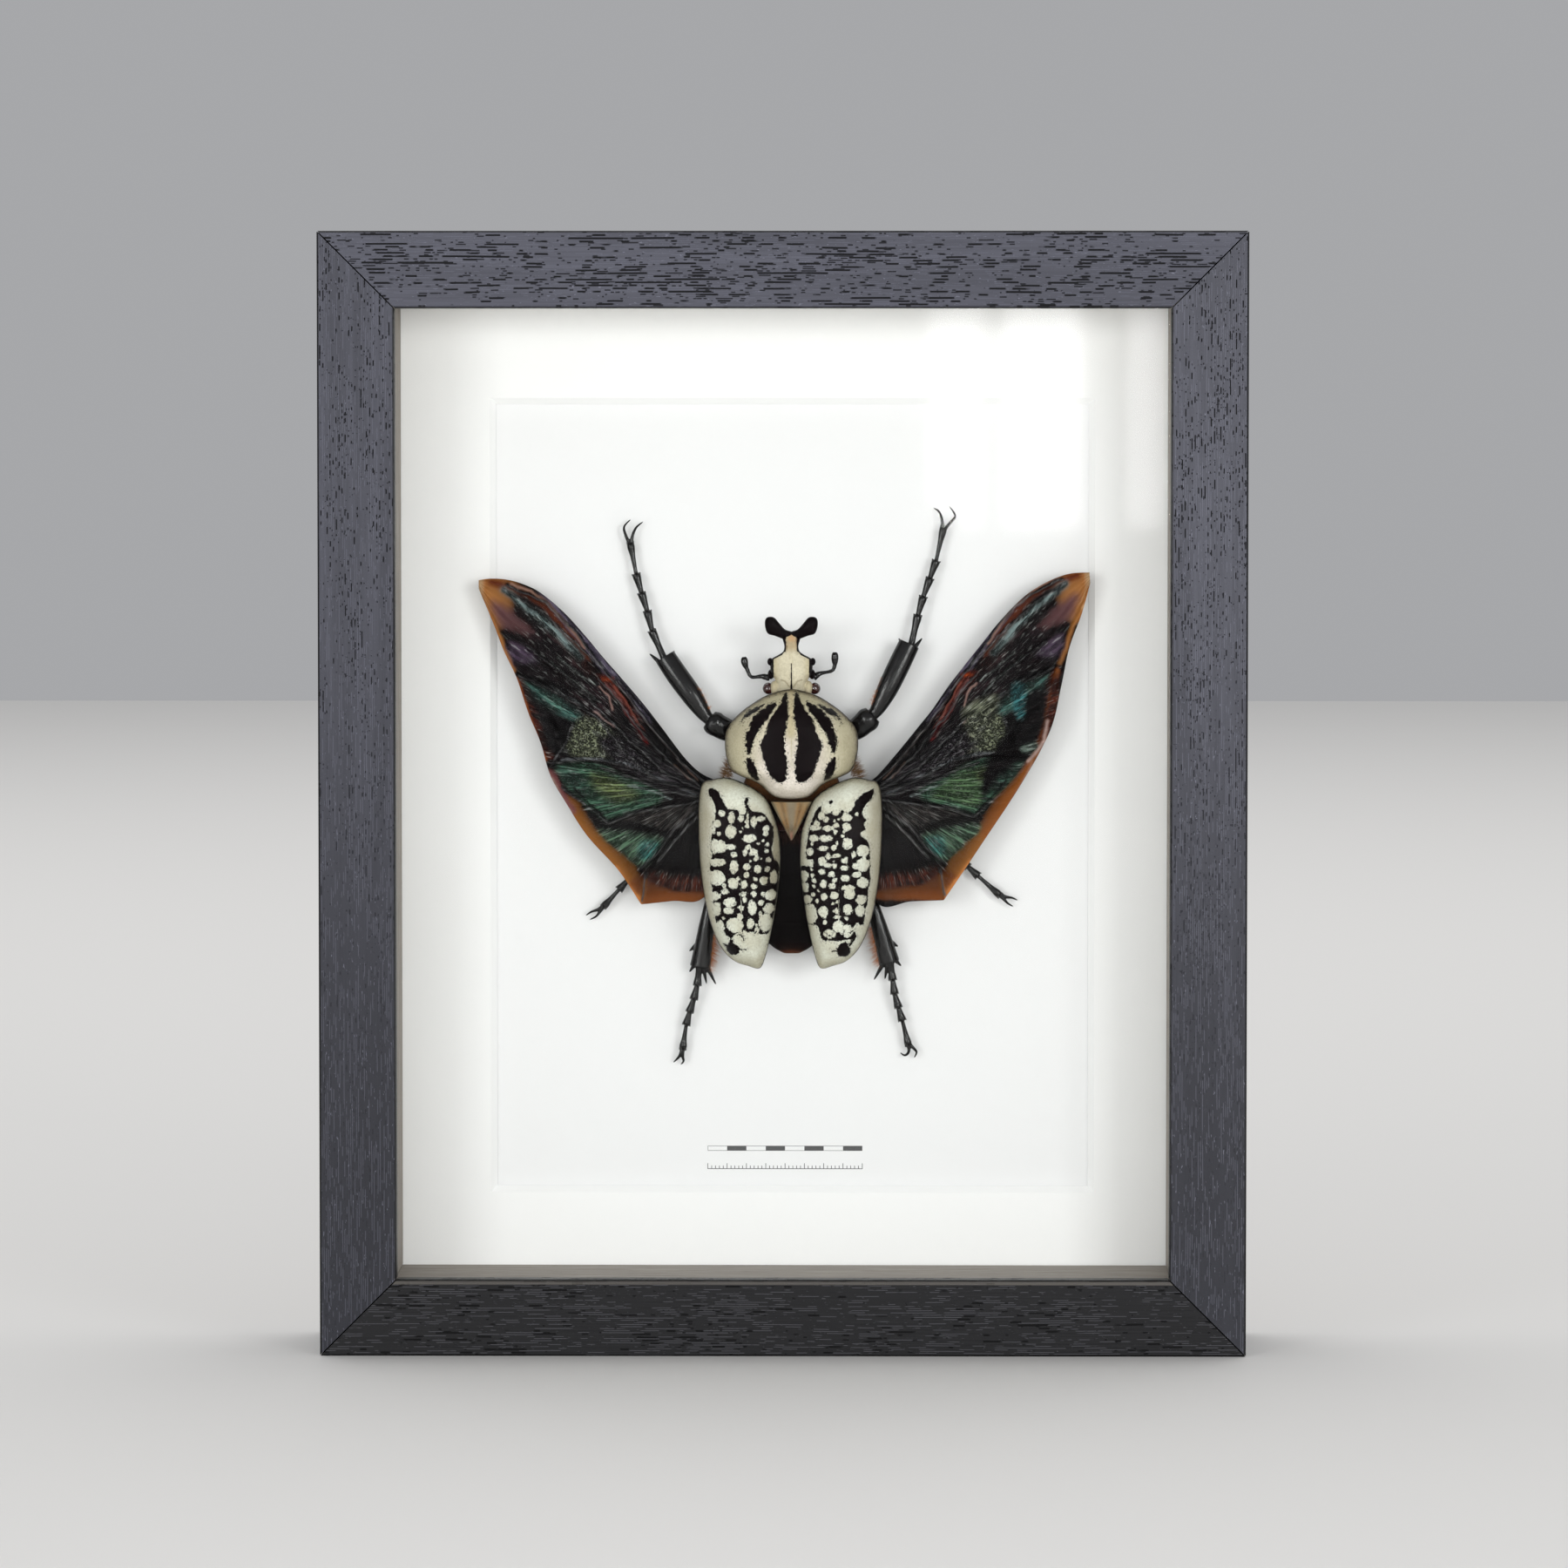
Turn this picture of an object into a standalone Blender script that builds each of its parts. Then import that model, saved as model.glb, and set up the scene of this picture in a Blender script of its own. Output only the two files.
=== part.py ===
"""A goliath beetle with spread wings, mounted in a deep glazed box frame.

All lengths are in millimetres until a mesh is made. The frame stands on Z = 0, its glass towards -Y,
and its origin is the middle of its underside.
"""

import math

import bmesh
import bpy
from mathutils import Vector

MM = 0.001
GAP = 0.3
SHARP_ANGLE = math.radians(50)

# The box frame, outside sizes
FRAME_WIDTH = 235.0
FRAME_HEIGHT = 285.0
FRAME_DEPTH = 50.0
RAIL_FACE = 19.5
RAIL_WALL = 15.6
LIP_DEPTH = 5.0
LIP_ROUNDING = 0.8
EDGE_CHAMFER = 0.4

# The sheets behind the lip, front to back
GLASS_THICKNESS = 2.0
SPACER_DEPTH = 31.0
SPACER_THICKNESS = 2.9
MAT_THICKNESS = 1.6
BOARD_THICKNESS = 3.0
PANEL_THICKNESS = 2.5

# The mat's window at its front edge. The bevel narrows it by the mat's thickness all round.
WINDOW_WIDTH = 155.9
WINDOW_HEIGHT = 205.3
WINDOW_CENTRE_X = 2.1
WINDOW_CENTRE_Z = 140.3

# The specimen's own frame: u to the right, v towards the head, h off the mounting board.
# Its zero lies between the pronotum and the wing cases.
BODY_X = 2.0
BODY_Z = 144.0
BELLY_HEIGHT = GAP
BODY_TOP = 12.3

FRONT_Y = -FRAME_DEPTH / 2
GLASS_FRONT = FRONT_Y + LIP_DEPTH + GAP
SPACER_FRONT = GLASS_FRONT + GLASS_THICKNESS + GAP
MAT_FRONT = SPACER_FRONT + SPACER_DEPTH + GAP
BOARD_FRONT = MAT_FRONT + MAT_THICKNESS + GAP
PANEL_FRONT = BOARD_FRONT + BOARD_THICKNESS + GAP
PANEL_BACK = PANEL_FRONT + PANEL_THICKNESS
SHEET_WIDTH = FRAME_WIDTH - 2 * (RAIL_WALL + GAP)
SHEET_HEIGHT = FRAME_HEIGHT - 2 * (RAIL_WALL + GAP)


def clear_scene():
    for obj in list(bpy.data.objects):
        bpy.data.objects.remove(obj, do_unlink=True)


def finish(name, colour, roughness, metallic=0.0, transmission=0.0):
    """A plain material with one colour."""
    material = bpy.data.materials.new(name)
    material.use_nodes = True
    shader = material.node_tree.nodes["Principled BSDF"]
    shader.inputs["Base Color"].default_value = (*colour, 1.0)
    shader.inputs["Roughness"].default_value = roughness
    shader.inputs["Metallic"].default_value = metallic
    shader.inputs["Transmission Weight"].default_value = transmission
    return material


def add_piece(name, points, faces, material, parent=None):
    """One closed mesh, its faces turned outwards. What has a parent is grown, and is shaded smooth."""
    mesh = bpy.data.meshes.new(name)
    mesh.from_pydata([Vector(point) * MM for point in points], [], faces)
    shape = bmesh.new()
    shape.from_mesh(mesh)
    bmesh.ops.recalc_face_normals(shape, faces=shape.faces)
    shape.to_mesh(mesh)
    shape.free()
    mesh.materials.append(material)
    if parent:
        mesh.shade_smooth()
        mesh.set_sharp_from_angle(angle=SHARP_ANGLE)
    piece = bpy.data.objects.new(name, mesh)
    piece.parent = parent
    bpy.context.scene.collection.objects.link(piece)
    return piece


def loft(rings):
    """Points and faces of a closed body through rings of equal count, capped at both ends."""
    count = len(rings[0])
    points = [point for ring in rings for point in ring]
    faces = []
    for row in range(len(rings) - 1):
        for column in range(count):
            here = row * count + column
            beside = row * count + (column + 1) % count
            faces.append((here, beside, beside + count, here + count))
    last = (len(rings) - 1) * count
    faces.append(tuple(range(count)))
    faces.append(tuple(range(last, last + count)))
    return points, faces


def block(low, high):
    """Points and faces of a box between two corners."""
    rings = []
    for y in (low[1], high[1]):
        rings.append([(low[0], y, low[2]), (high[0], y, low[2]), (high[0], y, high[2]), (low[0], y, high[2])])
    return loft(rings)


def smooth_closed(points, count):
    """Evenly spaced points on the smooth closed curve through hand-picked ones."""
    fine = []
    steps = 12
    total = len(points)
    for index in range(total):
        corners = [Vector(points[(index + offset) % total]) for offset in (-1, 0, 1, 2)]
        for step in range(steps):
            fine.append(between(corners, step / steps))
    return even_spacing(fine + fine[:1], count + 1)[:-1]


def smooth_open(points, count):
    """Points on the smooth open curve through hand-picked ones, evenly spread between them."""
    padded = [points[0], *points, points[-1]]
    spans = len(points) - 1
    result = []
    for index in range(count):
        place = index / (count - 1) * spans
        span = min(int(place), spans - 1)
        corners = [Vector(point) for point in padded[span : span + 4]]
        result.append(between(corners, place - span))
    return result


def between(corners, t):
    """A Catmull-Rom curve's point between the second and third of four corners."""
    before, start, end, after = corners
    return 0.5 * (
        2 * start
        + (end - before) * t
        + (2 * before - 5 * start + 4 * end - after) * t**2
        + (3 * start - before - 3 * end + after) * t**3
    )


def even_spacing(curve, count):
    """The same curve with points at equal distances."""
    lengths = [0.0]
    for here, there in zip(curve, curve[1:]):
        lengths.append(lengths[-1] + (there - here).length)
    result = []
    segment = 0
    for index in range(count):
        target = lengths[-1] * index / (count - 1)
        while segment < len(curve) - 2 and lengths[segment + 1] < target:
            segment += 1
        span = lengths[segment + 1] - lengths[segment]
        result.append(curve[segment].lerp(curve[segment + 1], (target - lengths[segment]) / span))
    return result


def step_up(low, high, value):
    """0 below low, 1 above high, smooth between."""
    t = min(max((value - low) / (high - low), 0.0), 1.0)
    return t * t * (3 - 2 * t)


# Frame


def rail_profile():
    """The moulding's section: distance in from the outer side, and depth behind the front face."""
    return [
        (EDGE_CHAMFER, 0.0),
        (RAIL_FACE - LIP_ROUNDING, 0.0),
        (RAIL_FACE - 0.3 * LIP_ROUNDING, 0.3 * LIP_ROUNDING),
        (RAIL_FACE, LIP_ROUNDING),
        (RAIL_FACE, LIP_DEPTH),
        (RAIL_WALL, LIP_DEPTH),
        (RAIL_WALL, FRAME_DEPTH),
        (EDGE_CHAMFER, FRAME_DEPTH),
        (0.0, FRAME_DEPTH - EDGE_CHAMFER),
        (0.0, EDGE_CHAMFER),
    ]


def make_rails(material):
    """Four mitred lengths of one rebated moulding."""
    half_width = FRAME_WIDTH / 2
    mitre = GAP / math.sqrt(2)
    for name, upright, side in (
        ("rail_top", False, 1),
        ("rail_bottom", False, -1),
        ("rail_left", True, -1),
        ("rail_right", True, 1),
    ):
        rings = []
        for end in (-1, 1):
            ring = []
            for inset, depth in rail_profile():
                y = FRONT_Y + depth
                if upright:
                    z = inset + mitre if end < 0 else FRAME_HEIGHT - inset - mitre
                    ring.append((side * (half_width - inset), y, z))
                else:
                    x = end * (half_width - inset - mitre)
                    ring.append((x, y, FRAME_HEIGHT - inset if side > 0 else inset))
            rings.append(ring)
        add_piece(name, *loft(rings), material)


def sheet_corners(front, thickness):
    """A full-size sheet's two corners, resting in the rebate."""
    low = (-SHEET_WIDTH / 2, front, RAIL_WALL + GAP)
    high = (SHEET_WIDTH / 2, front + thickness, RAIL_WALL + GAP + SHEET_HEIGHT)
    return low, high


def make_sheets(glass, card, panel):
    add_piece("glass_pane", *block(*sheet_corners(GLASS_FRONT, GLASS_THICKNESS)), glass)
    add_piece("mounting_board", *block(*sheet_corners(BOARD_FRONT, BOARD_THICKNESS)), card)
    add_piece("back_panel", *block(*sheet_corners(PANEL_FRONT, PANEL_THICKNESS)), panel)


def make_spacers(material):
    """Four strips that hold the mat away from the glass."""
    low, high = sheet_corners(SPACER_FRONT, SPACER_DEPTH)
    upright_low = low[2] + SPACER_THICKNESS + GAP
    upright_high = high[2] - SPACER_THICKNESS - GAP
    strips = {
        "spacer_top": ((low[0], high[2] - SPACER_THICKNESS), (high[0], high[2])),
        "spacer_bottom": ((low[0], low[2]), (high[0], low[2] + SPACER_THICKNESS)),
        "spacer_left": ((low[0], upright_low), (low[0] + SPACER_THICKNESS, upright_high)),
        "spacer_right": ((high[0] - SPACER_THICKNESS, upright_low), (high[0], upright_high)),
    }
    for name, (start, end) in strips.items():
        add_piece(name, *block((start[0], low[1], start[1]), (end[0], high[1], end[1])), material)


def make_mat(material):
    """The window mat: a sheet with a bevelled opening, widest at the front."""
    low, high = sheet_corners(MAT_FRONT, MAT_THICKNESS)

    def rectangle(half_width, half_height, centre_x, centre_z, y):
        corners = ((-1, -1), (1, -1), (1, 1), (-1, 1))
        return [(centre_x + a * half_width, y, centre_z + b * half_height) for a, b in corners]

    outer = (SHEET_WIDTH / 2, SHEET_HEIGHT / 2, 0.0, FRAME_HEIGHT / 2)
    window = (WINDOW_WIDTH / 2, WINDOW_HEIGHT / 2, WINDOW_CENTRE_X, WINDOW_CENTRE_Z)
    narrow = (window[0] - MAT_THICKNESS, window[1] - MAT_THICKNESS, *window[2:])
    rings = [
        rectangle(*outer, low[1]),
        rectangle(*outer, high[1]),
        rectangle(*narrow, high[1]),
        rectangle(*window, low[1]),
    ]
    points = [point for ring in rings for point in ring]
    faces = []
    for row in range(4):
        for column in range(4):
            here, beside = row * 4 + column, row * 4 + (column + 1) % 4
            above = ((row + 1) % 4 - row) * 4
            faces.append((here, beside, beside + above, here + above))
    add_piece("mat_board", points, faces, material)


def extrude_outline(outline, front, thickness):
    """A flat plate: the outline in X and Z, given a thickness in Y."""
    return loft([[(x, y, z) for x, z in outline] for y in (front, front + thickness)])


def make_tabs(material):
    """Thin steel points that hold the back panel in."""
    length, root, tip, thickness = 12.0, 8.0, 3.0, 0.6
    front = PANEL_BACK + GAP
    half_width = SHEET_WIDTH / 2
    middle = FRAME_HEIGHT / 2
    half_height = SHEET_HEIGHT / 2
    across, along = 55.0, 75.0
    places = [(side * across, end, "z") for end in (-1, 1) for side in (-1, 1)]
    places += [(end * along, side, "x") for side in (-1, 1) for end in (-1, 1)]
    for number, (offset, side, axis) in enumerate(places, start=1):
        shape = [(-root / 2, 0), (root / 2, 0), (root / 2, length / 3), (tip / 2, length)]
        shape += [(-tip / 2, length), (-root / 2, length / 3)]
        if axis == "z":
            outline = [(offset + a, middle + side * (half_height - b)) for a, b in shape]
        else:
            outline = [(side * (half_width - b), middle + offset + a) for a, b in shape]
        add_piece(f"panel_tab_{number}", *extrude_outline(outline, front, thickness), material)


def make_hanger(material):
    """A stamped plate on the back panel whose lower edge has teeth for a nail."""
    width, height, thickness = 46.0, 11.0, 0.9
    teeth, tooth_depth, pad = 9, 2.0, 9.0
    centre_z = 225.0
    outline = [(-width / 2, height / 2), (-width / 2, -height / 2), (-width / 2 + pad, -height / 2)]
    pitch = (width - 2 * pad) / teeth
    for tooth in range(teeth):
        left = -width / 2 + pad + tooth * pitch
        outline.append((left + pitch / 2, -height / 2 + 2 * tooth_depth))
        outline.append((left + pitch, -height / 2 + tooth_depth))
    outline += [(width / 2 - pad, -height / 2), (width / 2, -height / 2), (width / 2, height / 2)]
    outline = [(x, z + centre_z) for x, z in outline]
    plate = extrude_outline(outline, PANEL_BACK + GAP, thickness)
    piece = add_piece("hanger_plate", *plate, material)
    rivets = []
    for side in (-1, 1):
        rings = []
        for radius, rise in ((2.4, -0.2), (2.4, 0.5), (1.4, 1.0)):
            ring = []
            for corner in range(10):
                angle = math.tau * corner / 10
                x = side * (width - pad) / 2 + radius * math.cos(angle)
                y = PANEL_BACK + GAP + thickness + rise
                ring.append((x, y, centre_z + radius * math.sin(angle)))
            rings.append(ring)
        rivets.append(add_piece(f"rivet_{side}", *loft(rings), material))
    fuse(piece, rivets)


def fuse(piece, helpers):
    """Joins small overlapping bodies to a piece, so that they are one solid."""
    group = bpy.data.collections.new(piece.name + "_growths")
    bpy.context.scene.collection.children.link(group)
    for helper in helpers:
        bpy.context.scene.collection.objects.unlink(helper)
        group.objects.link(helper)
        helper.hide_render = True
        helper.display_type = "WIRE"
    join = piece.modifiers.new("growths", "BOOLEAN")
    join.operation = "UNION"
    join.operand_type = "COLLECTION"
    join.collection = group
    join.solver = "EXACT"


# Specimen


def make_specimen_frame():
    """The empty that carries the beetle: it turns (u, v, h) to face the glass."""
    holder = bpy.data.objects.new("specimen", None)
    holder.location = (BODY_X * MM, BOARD_FRONT * MM, BODY_Z * MM)
    holder.rotation_euler = (math.pi / 2, 0.0, 0.0)
    bpy.context.scene.collection.objects.link(holder)
    return holder


def towards_spine(point, spine, share):
    """A rim point drawn in towards the nearest point of a straight spine: share 1 is the rim."""
    start, end = Vector(spine[0]), Vector(spine[1])
    along = end - start
    t = min(max((point - start).dot(along) / along.length_squared, 0.0), 1.0)
    nearest = start + t * along
    return nearest + share * (point - nearest)


PRONOTUM_HALF = [
    (0.0, 24.5), (6.0, 23.0), (10.0, 20.7), (13.5, 18.0), (16.4, 14.5), (17.1, 10.5),
    (16.6, 6.5), (15.4, 3.6), (13.0, 2.1), (10.0, 1.0), (7.7, -0.3), (4.5, -3.0),
]
PRONOTUM_TAIL = (0.0, -3.7)
PRONOTUM_SPINE = ((0.0, 4.0), (0.0, 13.0))
PRONOTUM_UNDERSIDE = 12.8
PRONOTUM_TOP = 26.0
RINGS = (1.0, 0.97, 0.9, 0.78, 0.6, 0.36, 0.06)


def pronotum_rim(u):
    """The rim's height: low at the flanks, raised in the middle."""
    return 13.4 + 3.2 * math.exp(-((u / 8.0) ** 2))


def make_pronotum(material, holder):
    """The neck shield: a strongly domed plate."""
    mirrored = [(-u, v) for u, v in reversed(PRONOTUM_HALF[1:])]
    rim = smooth_closed(PRONOTUM_HALF + [PRONOTUM_TAIL] + mirrored, 34)
    rings = []
    underside = [towards_spine(point, PRONOTUM_SPINE, 0.93) for point in rim]
    rings.append([(u, v, PRONOTUM_UNDERSIDE) for u, v in underside])
    for share in RINGS:
        ring = []
        for point in rim:
            u, v = towards_spine(point, PRONOTUM_SPINE, share)
            edge = pronotum_rim(u)
            ring.append((u, v, edge + (PRONOTUM_TOP - edge) * (1 - share**2.4) ** 0.5))
        rings.append(ring)
    add_piece("pronotum", *loft(rings), material, holder)


# A wing case's rim: distance out from the middle line, and v.
ELYTRON_RIM = [
    (22.6, 0.2), (20.0, 1.3), (16.3, 1.8), (12.4, 0.6), (9.0, -1.2), (6.7, -3.0), (5.3, -5.2),
    (4.2, -8.0), (3.2, -11.0), (2.6, -15.0), (2.5, -20.0), (3.0, -26.0), (3.8, -32.0),
    (5.0, -38.5), (6.3, -44.0), (7.8, -47.2), (11.0, -46.6), (14.2, -45.5), (17.0, -43.0),
    (19.2, -39.2), (21.0, -33.8), (22.2, -28.0), (23.0, -22.0), (23.5, -14.0), (23.5, -5.0),
]
ELYTRON_SPINE = ((12.8, -6.0), (12.4, -36.0))
ELYTRON_WALL = 0.9
ELYTRON_LEAN = -0.3


def elytron_height(out, v, share):
    """The domed top: rim low at the flank and the tip, highest over the shoulder."""
    tail = step_up(-10.0, -48.0, v)
    edge = 16.3 - 1.3 * step_up(4.0, 22.0, out) - 1.4 * tail
    crown = 24.6 - 2.6 * tail
    return edge + (crown - edge) * (1 - share**2.5) ** 0.55


def make_elytra(material, holder):
    """The two spotted wing cases: domed shells, hollow underneath."""
    rim = smooth_closed(ELYTRON_RIM, 32)
    for name, side in (("elytron_left", -1), ("elytron_right", 1)):
        rings = []
        for inner in (False, True):
            shares = [share * 0.955 for share in RINGS] if inner else list(reversed(RINGS))
            for share in shares:
                ring = []
                for point in rim:
                    out, v = towards_spine(point, ELYTRON_SPINE, share)
                    h = elytron_height(out, v, share / 0.955 if inner else share)
                    drop = ELYTRON_WALL if inner else 0.0
                    ring.append((side * out + ELYTRON_LEAN, v, h - drop))
                rings.append(ring)
        add_piece(name, *loft(rings), material, holder)


def ellipse_ring(u, v, h, half_width, half_height, count, power=2.0):
    """A ring across the body, in the plane of u and h."""
    ring = []
    for index in range(count):
        angle = math.tau * index / count
        c, s = math.cos(angle), math.sin(angle)
        across = math.copysign(abs(c) ** (2 / power), c)
        up = math.copysign(abs(s) ** (2 / power), s)
        ring.append((u + half_width * across, v, h + half_height * up))
    return ring


THORAX = [
    (20.5, 5.0), (18.0, 8.5), (13.0, 11.2), (7.0, 11.8), (2.5, 11.6), (-2.0, 13.0), (-7.0, 14.3), (-12.0, 14.6),
]
ABDOMEN = [
    (-12.4, 14.6), (-17.0, 15.4), (-22.0, 15.5), (-27.0, 14.8), (-32.0, 13.2), (-36.5, 10.6), (-40.0, 7.6),
    (-42.5, 4.6), (-43.8, 2.2),
]


def make_trunk(dark, holder):
    """Thorax and abdomen: two barrel shapes that meet behind the middle legs."""
    count = 18
    middle = (BODY_TOP + BELLY_HEIGHT) / 2
    reach = (BODY_TOP - BELLY_HEIGHT) / 2
    rings = []
    for v, half_width in THORAX:
        thin = 0.75 + 0.25 * step_up(20.5, 13.0, v)
        rings.append(ellipse_ring(0.0, v, middle, half_width, reach * thin, count, 2.6))
    add_piece("thorax", *loft(rings), dark, holder)
    rings = []
    for v, half_width in ABDOMEN:
        thin = 1.0 - 0.62 * step_up(-30.0, -43.8, v)
        rings.append(ellipse_ring(0.0, v, middle + 1.2 * (1 - thin), half_width, reach * thin, count, 2.5))
    add_piece("abdomen", *loft(rings), dark, holder)


def make_scutellum(material, holder):
    """The small shield between the wing cases, with a raised keel."""
    front, tip, half, base = -4.4, -14.2, 5.0, 12.7
    rings = []
    for index in range(6):
        t = index / 5
        v = front + (tip - front) * t
        width = half * (1 - t) + 0.25
        crest = 19.0 - 2.2 * t
        edge = crest - 1.6 * (1 - t) - 0.3
        lower = base + 1.2 * t
        rings.append(
            [(-width, v, lower), (width, v, lower), (width, v, edge), (0.3 * width, v, crest - 0.3),
             (0.0, v, crest), (-0.3 * width, v, crest - 0.3), (-width, v, edge)]
        )
    add_piece("scutellum", *loft(rings), material, holder)


# The head: v, half width, middle height, half height
HEAD = [
    (24.9, 3.8, 13.6, 3.4), (26.2, 3.9, 14.0, 3.8), (27.5, 4.6, 14.2, 3.9), (28.8, 5.3, 14.5, 3.8),
    (31.0, 5.4, 15.2, 3.2), (32.3, 5.0, 15.9, 2.6), (33.3, 3.3, 16.6, 2.1), (34.2, 2.1, 17.2, 1.8),
    (35.6, 1.8, 17.8, 1.6), (37.2, 2.2, 18.3, 1.5), (38.8, 2.4, 18.7, 1.2),
]
FORK_ROOT = (0.0, 37.4, 18.2)
FORK_ENDS = {-1: (-4.7, 41.0, 19.4), 1: (4.5, 41.1, 19.4)}


def make_head(pale, dark, holder):
    """The head with its forked horn, two eyes, two elbowed feelers."""
    rings = [ellipse_ring(0.0, v, h, wide, high, 14, 2.4) for v, wide, h, high in HEAD]
    head = add_piece("head", *loft(rings), pale, holder)
    arms = []
    for side, end in FORK_ENDS.items():
        path = smooth_open([FORK_ROOT, (side * 2.3, 38.9, 18.7), end], 5)
        radii = (1.2, 1.5, 1.7, 2.2, 1.8)
        tip = path[-1] + (path[-1] - path[-2]).normalized() * 0.5
        arms.append(add_piece(f"horn_arm_{side}", *tube(path[:-1] + [tip], radii, 0.75, 8), dark, holder))
    fuse(head, arms)
    for name, side in (("eye_left", -1), ("eye_right", 1)):
        rings = []
        for turn in (-80, -50, -20, 10, 40, 65, 82):
            level = math.radians(turn)
            flat = 1.45 * math.cos(level)
            ring = []
            for corner in range(12):
                angle = math.tau * corner / 12
                ring.append((side * 5.75 + flat * math.cos(angle), 25.2 + flat * math.sin(angle), 13.4 + 1.7 * math.sin(level)))
            rings.append(ring)
        add_piece(name, *loft(rings), dark, holder)
    feelers = {
        "antenna_left": [(-5.6, 27.2), (-7.6, 27.6), (-10.3, 27.5), (-11.4, 29.4), (-12.0, 31.0), (-12.2, 32.6)],
        "antenna_right": [(5.6, 27.2), (7.2, 28.3), (10.2, 29.0), (11.0, 30.2), (11.1, 32.0), (11.1, 33.8)],
    }
    for name, route in feelers.items():
        path = smooth_open([(u, v, 12.0) for u, v in route], 9)
        radii = (0.7, 0.45, 0.45, 0.45, 0.5, 0.5, 0.75, 0.9, 0.6)
        add_piece(name, *tube(path, radii, 0.8, 6), dark, holder)


def tube(path, radii, flatness, sides):
    """A closed limb through points: each radius is its half width, flatness its height over its width."""
    rings = []
    for index, point in enumerate(path):
        ahead = path[min(index + 1, len(path) - 1)]
        behind = path[max(index - 1, 0)]
        forward = (Vector(ahead) - Vector(behind)).normalized()
        aside = forward.cross(Vector((0.0, 0.0, 1.0))).normalized()
        up = aside.cross(forward)
        ring = []
        for corner in range(sides):
            angle = math.tau * (corner + 0.5) / sides
            reach = aside * math.cos(angle) + up * (math.sin(angle) * flatness)
            ring.append(tuple(Vector(point) + reach * radii[index]))
        rings.append(ring)
    return loft(rings)


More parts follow.
